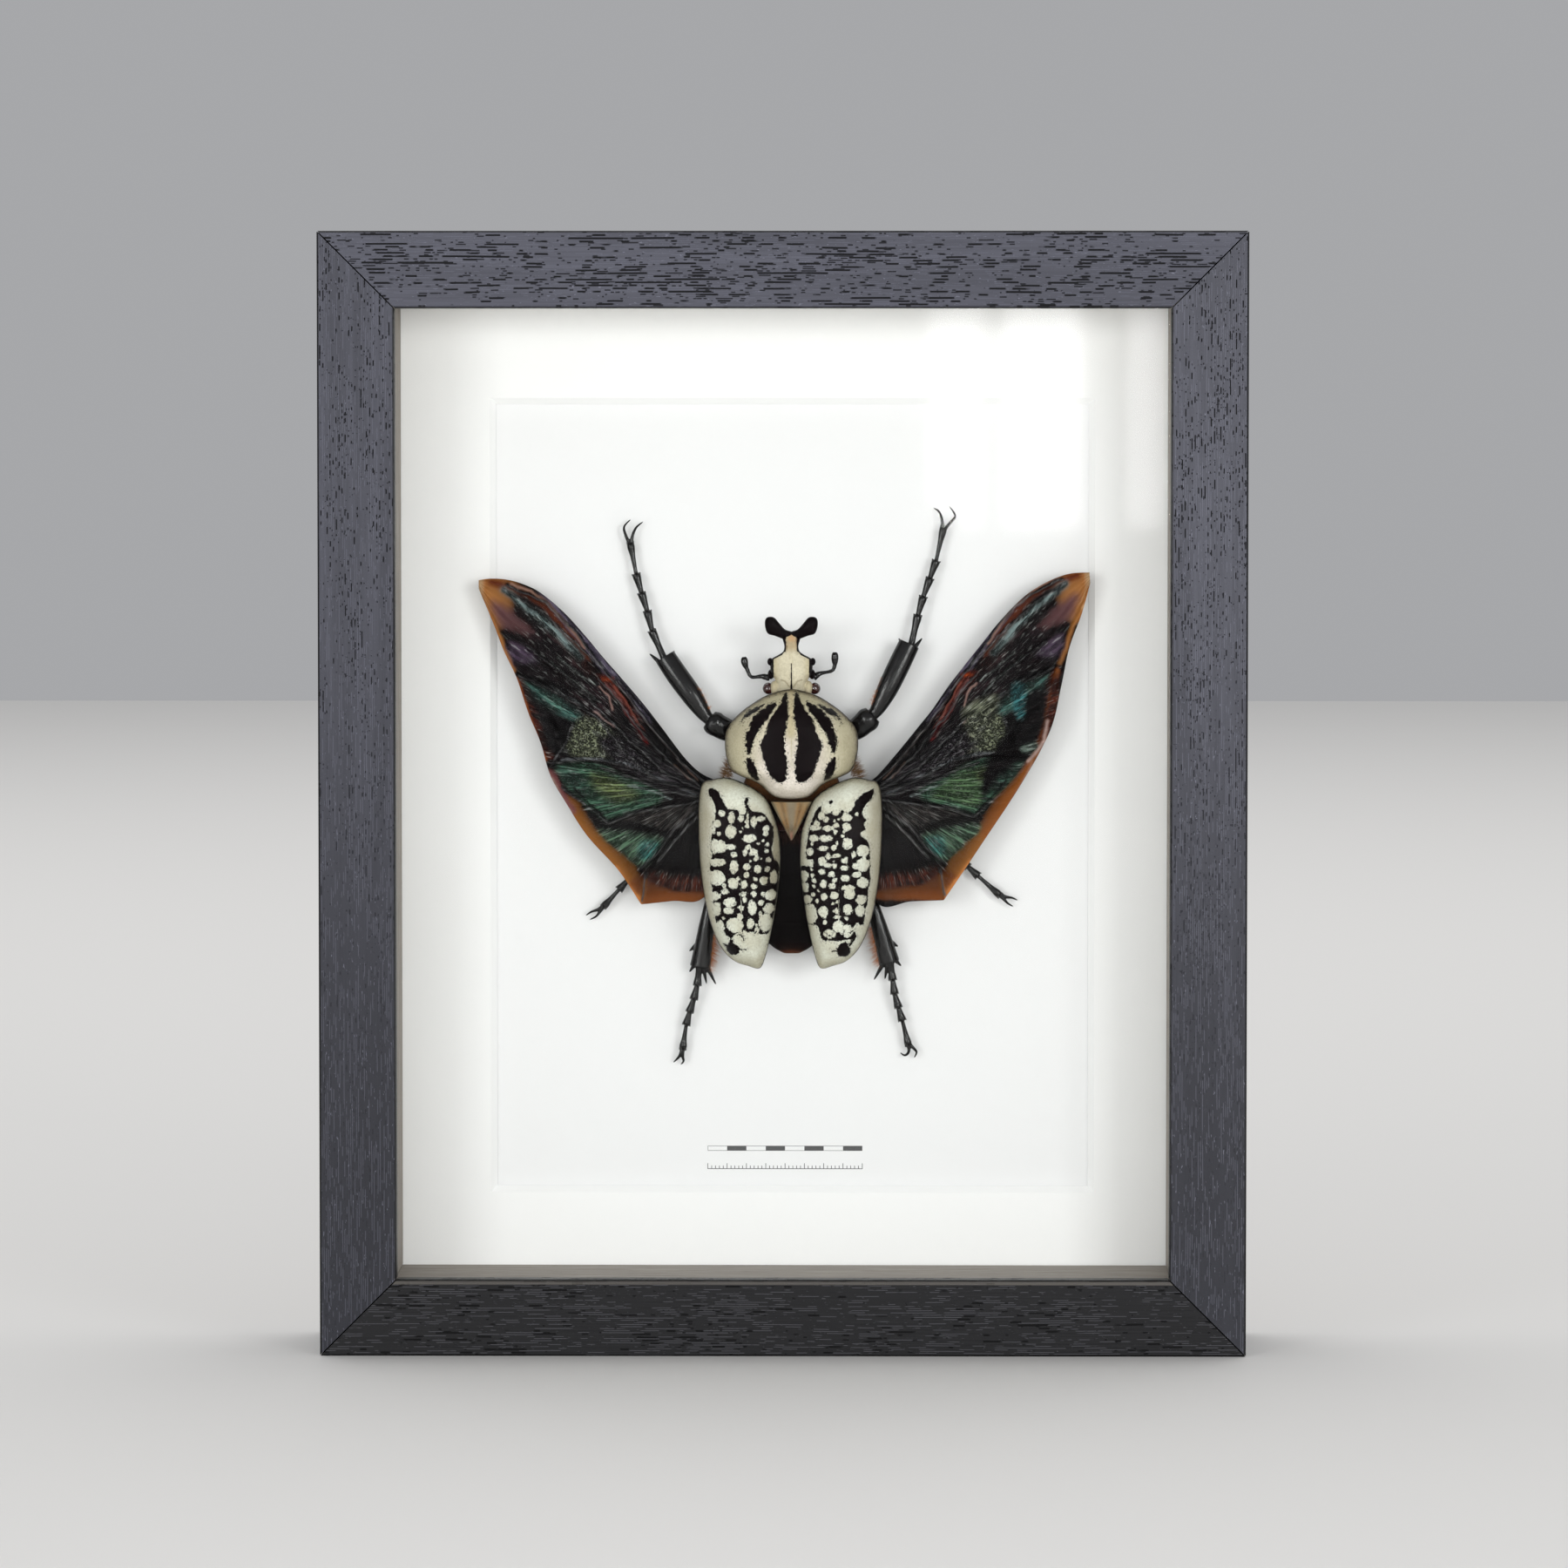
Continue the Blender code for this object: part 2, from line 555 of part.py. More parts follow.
# Each leg: upper part from the trunk to the tarsus as (u, v, h, half width), then the tarsus joints,
# two claws and the spurs at the shin's end, all as (u, v).
LEGS = {
    "leg_front_left": {
        "upper": [(-13.4, 12.6, 7.0, 2.0), (-16.5, 13.6, 7.6, 2.8), (-19.3, 15.0, 8.0, 2.8), (-21.2, 16.4, 8.0, 1.9),
                  (-22.8, 18.2, 8.0, 1.8), (-26.0, 23.0, 7.8, 2.2), (-29.5, 27.8, 7.2, 2.3), (-32.6, 32.4, 6.6, 2.2)],
        "tarsus": [(-33.6, 33.6), (-36.0, 39.0), (-37.2, 44.0), (-38.7, 48.7), (-40.1, 53.6), (-41.6, 61.5)],
        "claws": [[(-42.8, 63.6), (-43.2, 65.8), (-41.6, 67.6)], [(-41.0, 63.6), (-40.0, 65.7), (-38.4, 67.0)]],
        "spurs": [[(-33.5, 30.6), (-36.6, 33.2)], [(-31.4, 31.6), (-30.2, 34.0)]],
    },
    "leg_front_right": {
        "upper": [(13.4, 12.6, 7.0, 2.0), (16.4, 13.8, 7.6, 2.7), (18.9, 15.8, 8.0, 2.8), (20.8, 17.6, 8.0, 1.9),
                  (22.3, 19.6, 8.0, 1.8), (25.0, 25.0, 7.8, 2.2), (27.7, 30.6, 7.2, 2.3), (30.2, 35.8, 6.6, 2.2)],
        "tarsus": [(31.1, 37.2), (32.4, 43.0), (33.8, 47.8), (35.5, 52.5), (37.1, 57.0), (39.0, 65.5)],
        "claws": [[(38.6, 67.6), (37.8, 69.7), (36.5, 70.6)], [(40.8, 66.9), (42.0, 68.6), (40.6, 71.0)]],
        "spurs": [[(29.0, 34.4), (27.5, 37.2)], [(31.2, 34.4), (33.5, 37.2)]],
    },
    "leg_middle_left": {
        "upper": [(-15.9, -7.6, 5.0, 2.0), (-20.0, -6.6, 6.0, 2.6), (-24.5, -5.0, 6.8, 2.4), (-28.0, -4.0, 7.0, 1.8),
                  (-30.0, -6.0, 7.0, 1.7), (-32.6, -10.6, 6.6, 1.9), (-34.8, -15.0, 6.0, 2.0)],
        "tarsus": [(-35.6, -16.6), (-37.8, -19.6), (-40.2, -22.8), (-42.4, -25.4), (-44.6, -27.8), (-48.6, -32.2)],
        "claws": [[(-50.2, -33.0), (-51.8, -33.6), (-53.2, -34.6)], [(-49.6, -33.6), (-50.6, -34.8), (-52.2, -35.7)]],
        "spurs": [[(-35.2, -14.6), (-37.4, -15.6)], [(-33.8, -14.8), (-34.2, -17.6)]],
    },
    "leg_middle_right": {
        "upper": [(15.9, -7.6, 5.0, 2.0), (20.0, -6.2, 6.0, 2.6), (24.5, -4.0, 6.8, 2.4), (28.2, -2.4, 7.0, 1.8),
                  (30.6, -4.2, 7.0, 1.7), (34.0, -8.4, 6.6, 1.9), (36.8, -12.2, 6.0, 2.0)],
        "tarsus": [(37.8, -13.6), (40.4, -16.4), (42.9, -19.2), (45.4, -21.8), (48.0, -24.2), (53.6, -29.2)],
        "claws": [[(55.2, -29.6), (56.8, -29.9), (58.2, -30.6)], [(54.8, -30.4), (55.8, -31.4), (57.1, -32.2)]],
        "spurs": [[(37.0, -11.6), (39.4, -11.8)], [(35.8, -12.4), (36.0, -15.0)]],
    },
    "leg_hind_left": {
        "upper": [(-18.2, -18.0, 5.0, 1.6), (-19.2, -22.0, 5.8, 2.0), (-20.2, -26.0, 6.0, 1.7), (-21.0, -30.0, 6.0, 1.4),
                  (-21.9, -36.5, 5.8, 1.6), (-22.8, -42.5, 5.4, 1.9), (-23.6, -47.6, 5.0, 2.2)],
        "tarsus": [(-24.0, -48.8), (-24.4, -52.4), (-25.3, -56.0), (-26.4, -59.4), (-27.3, -62.8), (-28.2, -69.0)],
        "claws": [[(-29.0, -70.8), (-29.8, -71.8), (-30.6, -72.6)], [(-28.2, -71.0), (-28.0, -72.2), (-28.7, -73.2)]],
        "spurs": [[(-22.4, -46.6), (-19.6, -52.2)], [(-23.0, -47.0), (-22.0, -52.0)], [(-24.6, -42.0), (-26.4, -43.6)],
                  [(-24.8, -46.6), (-26.4, -49.0)]],
    },
    "leg_hind_right": {
        "upper": [(18.2, -18.0, 5.0, 1.6), (18.9, -22.0, 5.8, 2.0), (19.8, -26.0, 6.0, 1.7), (20.8, -30.0, 6.0, 1.4),
                  (22.2, -36.0, 5.8, 1.6), (23.8, -41.6, 5.4, 1.9), (25.1, -46.4, 5.0, 2.2)],
        "tarsus": [(25.6, -47.6), (26.0, -51.0), (26.5, -54.6), (27.5, -58.2), (28.5, -61.6), (30.1, -68.0)],
        "claws": [[(30.2, -69.6), (29.2, -70.7), (28.0, -70.1)], [(31.4, -68.8), (32.2, -69.9), (31.6, -71.4)]],
        "spurs": [[(24.0, -46.0), (21.2, -51.0)], [(24.8, -46.2), (24.0, -50.8)], [(25.4, -41.0), (27.4, -42.4)],
                  [(26.2, -45.4), (28.2, -47.4)]],
    },
}
TARSUS_START_HEIGHT = 5.0
TARSUS_END_HEIGHT = 3.0
CLAW_TIP_HEIGHT = 1.6


def tarsus_rings(joints, start_height):
    """Path and half widths of the five foot joints: each is thin at its root and flares at its end."""
    path, radii = [], []
    pairs = list(zip(joints, joints[1:]))
    for number, (start, end) in enumerate(pairs):
        for t, radius in ((0.1, 0.55), (0.82, 1.05 if number < 4 else 0.95), (0.97, 0.6)):
            level = (number + t) / len(pairs)
            h = start_height + (TARSUS_END_HEIGHT - start_height) * level
            path.append((start[0] + (end[0] - start[0]) * t, start[1] + (end[1] - start[1]) * t, h))
            radii.append(radius)
    return path, radii


def make_legs(material, holder):
    """Six legs, each grown in one piece from thigh to claws."""
    for name, leg in LEGS.items():
        path = [(u, v, h) for u, v, h, _ in leg["upper"]]
        radii = [wide for *_, wide in leg["upper"]]
        foot, foot_radii = tarsus_rings(leg["tarsus"], min(TARSUS_START_HEIGHT, path[-1][2] - 0.4))
        piece = add_piece(name, *tube(path + foot, radii + foot_radii, 0.72, 6), material, holder)
        growths = []
        end = leg["tarsus"][-1]
        back = Vector(leg["tarsus"][-2]).lerp(Vector(end), 0.9)
        for number, claw in enumerate(leg["claws"]):
            route = [(*back, TARSUS_END_HEIGHT), (*claw[0], TARSUS_END_HEIGHT)]
            route += [(*claw[1], 2.5), (*claw[2], CLAW_TIP_HEIGHT)]
            shape = tube(smooth_open(route, 5), (0.45, 0.42, 0.36, 0.26, 0.1), 1.0, 5)
            growths.append(add_piece(f"{name}_claw_{number}", *shape, material, holder))
        for number, (start, tip) in enumerate(leg["spurs"]):
            h = path[-1][2]
            route = [(*start, h), (*Vector(start).lerp(Vector(tip), 0.5), h - 0.2), (*tip, h - 0.6)]
            shape = tube(route, (0.7, 0.5, 0.12), 0.9, 5)
            growths.append(add_piece(f"{name}_spur_{number}", *shape, material, holder))
        fuse(piece, growths)


# Each hind wing: pairs of points across it, on its front edge and on its rear edge, root to tip.
WINGS = {
    "hindwing_left": [
        ((-13.0, -2.0), (-13.0, -8.0)), ((-18.0, 0.4), (-17.5, -20.0)), ((-23.0, 2.6), (-23.0, -29.5)),
        ((-27.0, 6.2), (-30.5, -30.1)), ((-32.0, 12.7), (-38.5, -30.7)), ((-38.0, 20.5), (-44.5, -22.3)),
        ((-44.0, 27.5), (-52.5, -13.5)), ((-48.5, 32.6), (-58.0, -5.0)), ((-53.0, 38.0), (-62.0, 2.0)),
        ((-58.5, 44.0), (-64.5, 10.5)), ((-64.5, 49.0), (-67.6, 18.0)), ((-69.0, 51.2), (-70.6, 27.0)),
        ((-73.0, 52.3), (-73.9, 34.0)), ((-77.0, 52.6), (-76.6, 41.0)), ((-80.4, 52.2), (-80.4, 50.0)),
    ],
    "hindwing_right": [
        ((13.0, -2.0), (13.0, -8.0)), ((17.0, -0.8), (17.5, -20.0)), ((21.5, 1.7), (22.5, -31.0)),
        ((26.5, 7.3), (30.5, -30.2)), ((31.6, 13.5), (39.0, -29.7)), ((36.0, 19.0), (44.5, -22.0)),
        ((40.0, 24.8), (50.5, -13.0)), ((44.0, 30.0), (55.0, -6.3)), ((48.5, 35.6), (59.5, 0.8)),
        ((53.3, 41.6), (64.0, 8.7)), ((59.0, 47.5), (67.2, 16.0)), ((63.5, 50.7), (69.4, 26.0)),
        ((68.0, 52.9), (71.3, 35.0)), ((72.0, 54.0), (74.4, 43.5)), ((76.4, 54.2), (76.6, 51.4)),
    ],
}
WING_THICKNESS = 0.5
WING_FOLDS = 3.6
FOLD_SLANT = 0.45


def wing_height(along, across):
    """The wing droops towards its tip, and its long folds run from the root out to the rear edge."""
    depth = 0.6 * step_up(0.06, 0.3, along) * (1 - 0.5 * along**2)
    fold = math.sin(math.tau * WING_FOLDS * (across - FOLD_SLANT * along))
    front_rib = 0.5 * step_up(0.12, 0.0, across) * step_up(0.1, 0.3, along)
    return 13.2 - 4.4 * along + depth * fold + front_rib


def make_wings(material, holder):
    """The two folded hind wings as thin sheets."""
    lengthwise, crosswise = 20, 15
    for name, stations in WINGS.items():
        front = smooth_open([(*lead, 0.0) for lead, _ in stations], lengthwise)
        rear = smooth_open([(*trail, 0.0) for _, trail in stations], lengthwise)
        rings = []
        for row in range(lengthwise):
            along = row / (lengthwise - 1)
            upper, lower = [], []
            for column in range(crosswise):
                across = column / (crosswise - 1)
                u, v, _ = front[row].lerp(rear[row], across)
                h = wing_height(along, across)
                upper.append((u, v, h))
                lower.append((u, v, h - WING_THICKNESS))
            rings.append(upper + lower[::-1])
        points, faces = loft(rings)
        add_piece(name, points, faces, material, holder)


def main():
    clear_scene()
    wood = finish("stained wood", (0.045, 0.046, 0.052), 0.45)
    spacer = finish("spacer wood", (0.2, 0.19, 0.18), 0.6)
    glass = finish("glass", (1.0, 1.0, 1.0), 0.03, transmission=1.0)
    card = finish("white card", (0.88, 0.88, 0.88), 0.85)
    fibreboard = finish("fibreboard", (0.2, 0.13, 0.08), 0.8)
    steel = finish("steel", (0.6, 0.6, 0.58), 0.35, 1.0)
    pale = finish("pale shell", (0.68, 0.64, 0.5), 0.4)
    black = finish("black shell", (0.012, 0.01, 0.009), 0.25)
    brown = finish("brown shell", (0.22, 0.11, 0.05), 0.45)
    membrane = finish("wing membrane", (0.05, 0.035, 0.03), 0.3)
    make_rails(wood)
    make_sheets(glass, card, fibreboard)
    make_spacers(spacer)
    make_mat(card)
    make_tabs(steel)
    make_hanger(steel)
    holder = make_specimen_frame()
    make_pronotum(pale, holder)
    make_elytra(pale, holder)
    make_scutellum(brown, holder)
    make_trunk(black, holder)
    make_head(pale, black, holder)
    make_legs(black, holder)
    make_wings(membrane, holder)


main()
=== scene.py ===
"""The looks of a goliath beetle with spread wings in a deep glazed box frame.

The frame's own pieces keep their solids and get their finishes here. The beetle is built again with
finer meshes, in millimetres: u to the right, v towards the head, h off the mounting board.
"""

import math

import bmesh
import bpy
import numpy as np
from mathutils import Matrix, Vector


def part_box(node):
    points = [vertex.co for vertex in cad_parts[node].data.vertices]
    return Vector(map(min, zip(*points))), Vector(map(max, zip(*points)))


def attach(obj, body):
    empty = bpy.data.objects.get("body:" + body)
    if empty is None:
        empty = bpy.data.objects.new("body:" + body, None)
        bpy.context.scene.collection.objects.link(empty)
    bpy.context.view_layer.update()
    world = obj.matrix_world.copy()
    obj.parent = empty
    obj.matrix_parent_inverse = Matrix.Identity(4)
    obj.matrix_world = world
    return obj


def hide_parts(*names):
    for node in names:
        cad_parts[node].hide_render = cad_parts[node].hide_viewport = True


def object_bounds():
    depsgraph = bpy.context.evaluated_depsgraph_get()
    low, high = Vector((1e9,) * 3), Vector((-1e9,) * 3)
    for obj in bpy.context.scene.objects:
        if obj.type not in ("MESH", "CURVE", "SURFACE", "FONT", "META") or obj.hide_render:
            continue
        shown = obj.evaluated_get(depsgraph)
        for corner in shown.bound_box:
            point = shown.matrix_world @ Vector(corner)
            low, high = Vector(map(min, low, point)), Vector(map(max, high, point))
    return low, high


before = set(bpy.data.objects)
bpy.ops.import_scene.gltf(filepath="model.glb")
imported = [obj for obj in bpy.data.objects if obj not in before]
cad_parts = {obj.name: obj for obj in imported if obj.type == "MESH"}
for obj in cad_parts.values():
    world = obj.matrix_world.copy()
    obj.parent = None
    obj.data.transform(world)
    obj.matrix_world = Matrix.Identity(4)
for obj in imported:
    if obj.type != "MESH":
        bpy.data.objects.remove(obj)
cad_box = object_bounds()

MM = 0.001
BODY_X = 2.0
BODY_Z = 144.0
BOARD_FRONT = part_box("mounting_board")[0].y / MM
FRAME_LOW, FRAME_HIGH = (corner / MM for corner in cad_box)


# Camera, light and floor


CAMERA_LENS = 172.8
CAMERA_PLACE = (0.020, -1.925, 0.2451)
CAMERA_AIM = (0.000352, -0.025, 0.145477)


def make_camera():
    """The photograph's view: almost straight on, from the height of the frame's upper third."""
    data = bpy.data.cameras.new("camera")
    data.sensor_width = 36.0
    data.lens = CAMERA_LENS
    camera = bpy.data.objects.new("camera", data)
    place = Vector(CAMERA_PLACE)
    camera.location = place
    camera.rotation_euler = (Vector(CAMERA_AIM) - place).to_track_quat("-Z", "Y").to_euler()
    bpy.context.scene.collection.objects.link(camera)
    bpy.context.scene.camera = camera


def soft_light(name, place, aim, size, power, colour=(1.0, 1.0, 1.0), mirrored=True):
    """A rectangular soft box that isn't seen itself. Cross-polarised boxes aren't mirrored either."""
    data = bpy.data.lights.new(name, "AREA")
    data.shape = "RECTANGLE"
    data.size, data.size_y = size
    data.energy = power
    data.color = colour
    lamp = bpy.data.objects.new(name, data)
    lamp.location = place
    lamp.rotation_euler = (Vector(aim) - Vector(place)).to_track_quat("-Z", "Y").to_euler()
    lamp.visible_camera = False
    lamp.visible_glossy = mirrored
    bpy.context.scene.collection.objects.link(lamp)


FRAME_MIDDLE = (0.0, 0.0, 0.14)
WINDOW_Y = -2.5
WINDOW_HEIGHT = 0.235
WINDOW_STRIP_LENGTH = 0.14
# The bright strips that the glass mirrors: x, width, power
WINDOW_STRIPS = ((0.075, 0.03, 0.6), (0.125, 0.045, 1.1), (0.185, 0.02, 0.4))


def make_lights():
    """A broad cross-polarised box in front, two at the sides for the highlights, and weaker ones."""
    soft_light("front", (0.08, -2.4, 0.3), FRAME_MIDDLE, (1.7, 0.7), 17.0, (1.0, 0.985, 0.97), False)
    soft_light("lamp_left", (-0.8, -1.5, 0.32), FRAME_MIDDLE, (0.5, 0.5), 6.6)
    soft_light("lamp_right", (0.8, -1.5, 0.36), FRAME_MIDDLE, (0.5, 0.5), 7.4)
    soft_light("ceiling", (0.0, 1.4, 2.6), (0.0, 1.6, 0.0), (3.4, 3.0), 60.0)
    for number, (x, width, power) in enumerate(WINDOW_STRIPS):
        place, aim = (x, WINDOW_Y, WINDOW_HEIGHT), (x, 0.0, WINDOW_HEIGHT)
        soft_light(f"window_{number}", place, aim, (width, WINDOW_STRIP_LENGTH), power)
    world = bpy.data.worlds.new("world")
    world.use_nodes = True
    background = world.node_tree.nodes["Background"]
    background.inputs["Color"].default_value = (0.96, 0.97, 1.0, 1.0)
    background.inputs["Strength"].default_value = 0.4
    bpy.context.scene.world = world
    bpy.context.scene.view_settings.view_transform = "Standard"


# Shader helpers


class Wire:
    """A socket that can be used in sums: each operator adds one Math node."""

    def __init__(self, finish, socket):
        self.finish = finish
        self.socket = socket

    def math(self, operation, *others):
        values = dict(enumerate((self, *others)))
        return self.finish.node("ShaderNodeMath", {"operation": operation}, values)

    def __add__(self, other):
        return self.math("ADD", other)

    def __sub__(self, other):
        return self.math("SUBTRACT", other)

    def __mul__(self, other):
        return self.math("MULTIPLY", other)

    def __truediv__(self, other):
        return self.math("DIVIDE", other)

    def __rsub__(self, other):
        return self.math("MULTIPLY", -1.0).math("ADD", other)

    __radd__ = __add__
    __rmul__ = __mul__

    def above(self, level):
        return self.math("GREATER_THAN", level)

    def below(self, level):
        return self.math("LESS_THAN", level)

    def at_most(self, other):
        return self.math("MINIMUM", other)

    def at_least(self, other):
        return self.math("MAXIMUM", other)

    def size(self):
        return self.math("ABSOLUTE")

    def power(self, exponent):
        return self.math("POWER", exponent)

    def rise(self, low, high):
        """0 at low, 1 at high, smooth between."""
        settings = {"interpolation_type": "SMOOTHSTEP"}
        return self.finish.node("ShaderNodeMapRange", settings, {0: self, 1: low, 2: high, 3: 0.0, 4: 1.0})


class Finish:
    """One material while it is being made."""

    def __init__(self, name):
        self.material = bpy.data.materials.new(name)
        self.material.use_nodes = True
        self.tree = self.material.node_tree
        self.tree.nodes.clear()

    def node(self, kind, settings, values, output=0):
        """Adds a node, sets it up, fills its sockets and returns one of its outputs."""
        made = self.tree.nodes.new(kind)
        for name, value in settings.items():
            setattr(made, name, value)
        for key, value in values.items():
            socket = made.inputs[key]
            if isinstance(value, Wire):
                self.tree.links.new(value.socket, socket)
            else:
                socket.default_value = value
        return Wire(self, made.outputs[output])

    def place(self):
        """The point's own place on the object, in millimetres."""
        point = self.node("ShaderNodeTexCoord", {}, {}, "Object")
        return self.stretch(point, (1000.0, 1000.0, 1000.0))

    def attribute(self, name, output="Fac"):
        return self.node("ShaderNodeAttribute", {"attribute_name": name}, {}, output)

    def stretch(self, vector, factors):
        return self.node("ShaderNodeVectorMath", {"operation": "MULTIPLY"}, {0: vector, 1: factors})

    def part(self, vector, axis):
        return self.node("ShaderNodeSeparateXYZ", {}, {0: vector}, axis)

    def noise(self, vector, scale, detail=2.0, roughness=0.5, distortion=0.0):
        values = {
            "Vector": vector,
            "Scale": scale,
            "Detail": detail,
            "Roughness": roughness,
            "Distortion": distortion,
        }
        return self.node("ShaderNodeTexNoise", {}, values)

    def cells(self, vector, scale):
        return self.node("ShaderNodeTexVoronoi", {"feature": "F1"}, {"Vector": vector, "Scale": scale})

    def mix(self, share, first, second):
        made = self.tree.nodes.new("ShaderNodeMix")
        made.data_type = "RGBA"
        sockets = {socket.identifier: socket for socket in made.inputs}
        for key, value in (("Factor_Float", share), ("A_Color", first), ("B_Color", second)):
            if isinstance(value, Wire):
                self.tree.links.new(value.socket, sockets[key])
            elif isinstance(value, (int, float)):
                sockets[key].default_value = value
            else:
                sockets[key].default_value = (*value[:3], 1.0)
        outputs = {socket.identifier: socket for socket in made.outputs}
        return Wire(self, outputs["Result_Color"])

    def bump(self, height, depth):
        """A bump of that depth in millimetres."""
        return self.node("ShaderNodeBump", {}, {"Height": height, "Distance": depth * MM, "Strength": 1.0})

    def surface(self, colour, roughness, normal=None, **others):
        """Ends the material with a Principled shader."""
        values = {"Base Color": colour, "Roughness": roughness}
        if normal:
            values["Normal"] = normal
        for name, value in others.items():
            values[name.replace("_", " ").title().replace("Ior", "IOR")] = value
        if not isinstance(colour, Wire):
            values["Base Color"] = (*colour[:3], 1.0)
        shader = self.node("ShaderNodeBsdfPrincipled", {}, values)
        self.node_out(shader)
        return self.material

    def node_out(self, shader):
        out = self.tree.nodes.new("ShaderNodeOutputMaterial")
        self.tree.links.new(shader.socket, out.inputs["Surface"])


def tone(red, green, blue):
    """A colour given as it looks on a screen, 0 to 255, turned into light."""
    values = []
    for level in (red, green, blue):
        share = level / 255
        values.append(share / 12.92 if share <= 0.04045 else ((share + 0.055) / 1.055) ** 2.4)
    return tuple(values)


def shaded(colour, share):
    """The same colour, darker or lighter."""
    return [level * share for level in colour]


# Finishes of the frame

MIDDLE_HEIGHT = FRAME_HIGH[2] / 2
OPENING_HALF_WIDTH = 97.8
OPENING_HALF_HEIGHT = 122.8
RAIL_FACE = 19.5
PORE_BLACK = (0.0012, 0.0012, 0.0015)
EDGE_SHADE_BLACK = (0.0015, 0.0015, 0.0015)


def stained_wood(name, along, stain, streak_length, streak_cut, relief, shaded_wall_depth=6.0):
    """Open-grained wood under a satin charcoal stain: dark pores run along the grain, with painted shade low
    down.
    """
    wood = Finish(name)
    place = wood.place()

    def grain(length, width, detail=2.0):
        factors = [1.0 / width] * 3
        factors[along] = 1.0 / length
        return wood.noise(wood.stretch(place, factors), 1.0, detail)

    def dashes(length, pitch, cut, half):
        """Straight dashes in rows along the grain: cut says how rare they are, half how thick."""
        drift = grain(60.0, 9.0) * 1.1
        level = (wood.part(place, cross) + wood.part(place, "Y") + drift) / pitch
        row = level.math("FLOOR")
        here = wood.part(place, "XYZ"[along]) / length
        point = wood.node("ShaderNodeCombineXYZ", {}, {0: here, 1: row * 5.37, 2: row * 1.73})
        run = wood.noise(point, 1.0, 1.0) + clusters * 0.36 - 0.18
        return run.rise(cut, cut + 0.03) * (level - row - 0.5).size().rise(half, half - 0.14)

    cross = "Z" if along == 0 else "X"
    clusters = grain(40.0, 6.0)
    pores = dashes(streak_length, 0.8, streak_cut, 0.33 if along == 0 else 0.24)
    small = dashes(streak_length * 0.35, 0.55, streak_cut + 0.045, 0.34 if along == 0 else 0.28)
    fibres = grain(26.0, 0.35, 3.0)
    bands = grain(120.0, 5.0, 3.0)
    glint_flecks = grain(1.3, 0.34, 1.0).rise(0.7, 0.75)
    lit_ridges = dashes(6.0, 0.52, 0.52, 0.3)
    # Painted shade: the wood darkens towards the bottom, and on the upright rails its pores fade there.
    low = wood.part(place, "Z").rise(235.0, 30.0)
    dark = pores.at_least(small * 0.85)
    if along == 2:
        dark = dark * (1.0 - low * 0.75)
    ground = wood.mix(bands.rise(0.3, 0.7), shaded(stain, 0.86), shaded(stain, 1.16))
    ground = wood.mix(fibres.rise(0.35, 0.7) * 0.35, ground, shaded(stain, 0.62))
    ground = wood.mix(low * 0.86, ground, shaded(stain, 0.3))
    # Painted glints and highlights: pale flecks along the fibres and pale dashes on the raised ridges of the
    # grain.
    ground = wood.mix(glint_flecks * 0.55, ground, shaded(stain, 2.6))
    ground = wood.mix(lit_ridges * min(0.35 * relief, 0.6), ground, shaded(stain, 3.2))
    colour = wood.mix(dark * 0.95, ground, PORE_BLACK)
    # Painted shade: the front face is darkened along its outer edge and along the opening, and the opening's
    # inner wall is darkened down to the given depth from the front.
    x, y, z = (wood.part(place, axis) for axis in "XYZ")
    aside, above = x.size(), (z - MIDDLE_HEIGHT).size()
    outer = (aside * -1.0 + FRAME_HIGH[0]).at_most(above * -1.0 + MIDDLE_HEIGHT)
    inner = (aside - OPENING_HALF_WIDTH).at_least(above - OPENING_HALF_HEIGHT)
    outer = outer.rise(0.6, 0.3) * y.below(FRAME_LOW[1] + 0.6)
    inner = inner.rise(0.85, 0.45) * y.below(FRAME_LOW[1] + shaded_wall_depth)
    colour = wood.mix(outer.at_least(inner) * 0.9, colour, EDGE_SHADE_BLACK)
    # A painted highlight on the bottom rail: a lighter band along the rounded lip of the opening.
    if shaded_wall_depth < 1.0:
        rounded = (z - RAIL_FACE + 0.85).size().rise(0.6, 0.25)
        colour = wood.mix(rounded * (bands * 0.8 + 0.15), colour, tone(104, 100, 95))
    height = fibres * 0.22 * relief - dark + glint_flecks * 0.3 + bands * 0.4 + lit_ridges * 0.4 * relief
    normal = wood.bump(height, 0.16)
    roughness = dark * 0.3 + fibres * 0.14 + 0.33
    return wood.surface(colour, roughness, normal, specular_ior_level=0.22)


def spacer_wood():
    """The grey-brown strips that line the box."""
    wood = Finish("spacer wood")
    place = wood.place()
    fibres = wood.noise(wood.stretch(place, (0.05, 2.2, 0.05)), 1.0, 4.0)
    specks = wood.noise(wood.stretch(place, (0.16, 3.0, 0.16)), 1.0, 2.0)
    colour = wood.mix(fibres.rise(0.3, 0.7), tone(122, 114, 106), tone(168, 160, 151))
    colour = wood.mix(specks.rise(0.6, 0.68) * 0.6, colour, tone(70, 66, 60))
    return wood.surface(colour, 0.62, wood.bump(fibres - specks * 0.4, 0.08))


def white_card(name, colour, marked=False):
    """Smooth card with a faint tooth. The mounting card has a plain printed scale under the specimen."""
    card = Finish(name)
    place = card.place()
    tooth = card.noise(place, 5.0, 3.0)
    cloud = card.noise(place, 0.03, 2.0)
    shade = card.mix(cloud, shaded(colour, 0.985), colour)
    if marked:
        shade = card.mix(scale_bar(card, place), shade, tone(40, 40, 42))
    return card.surface(shade, 0.8, card.bump(tooth, 0.02), specular_ior_level=0.3)


SCALE_CENTRE = 0.2
SCALE_HEIGHT = 48.9
RULE_HEIGHT = 43.6


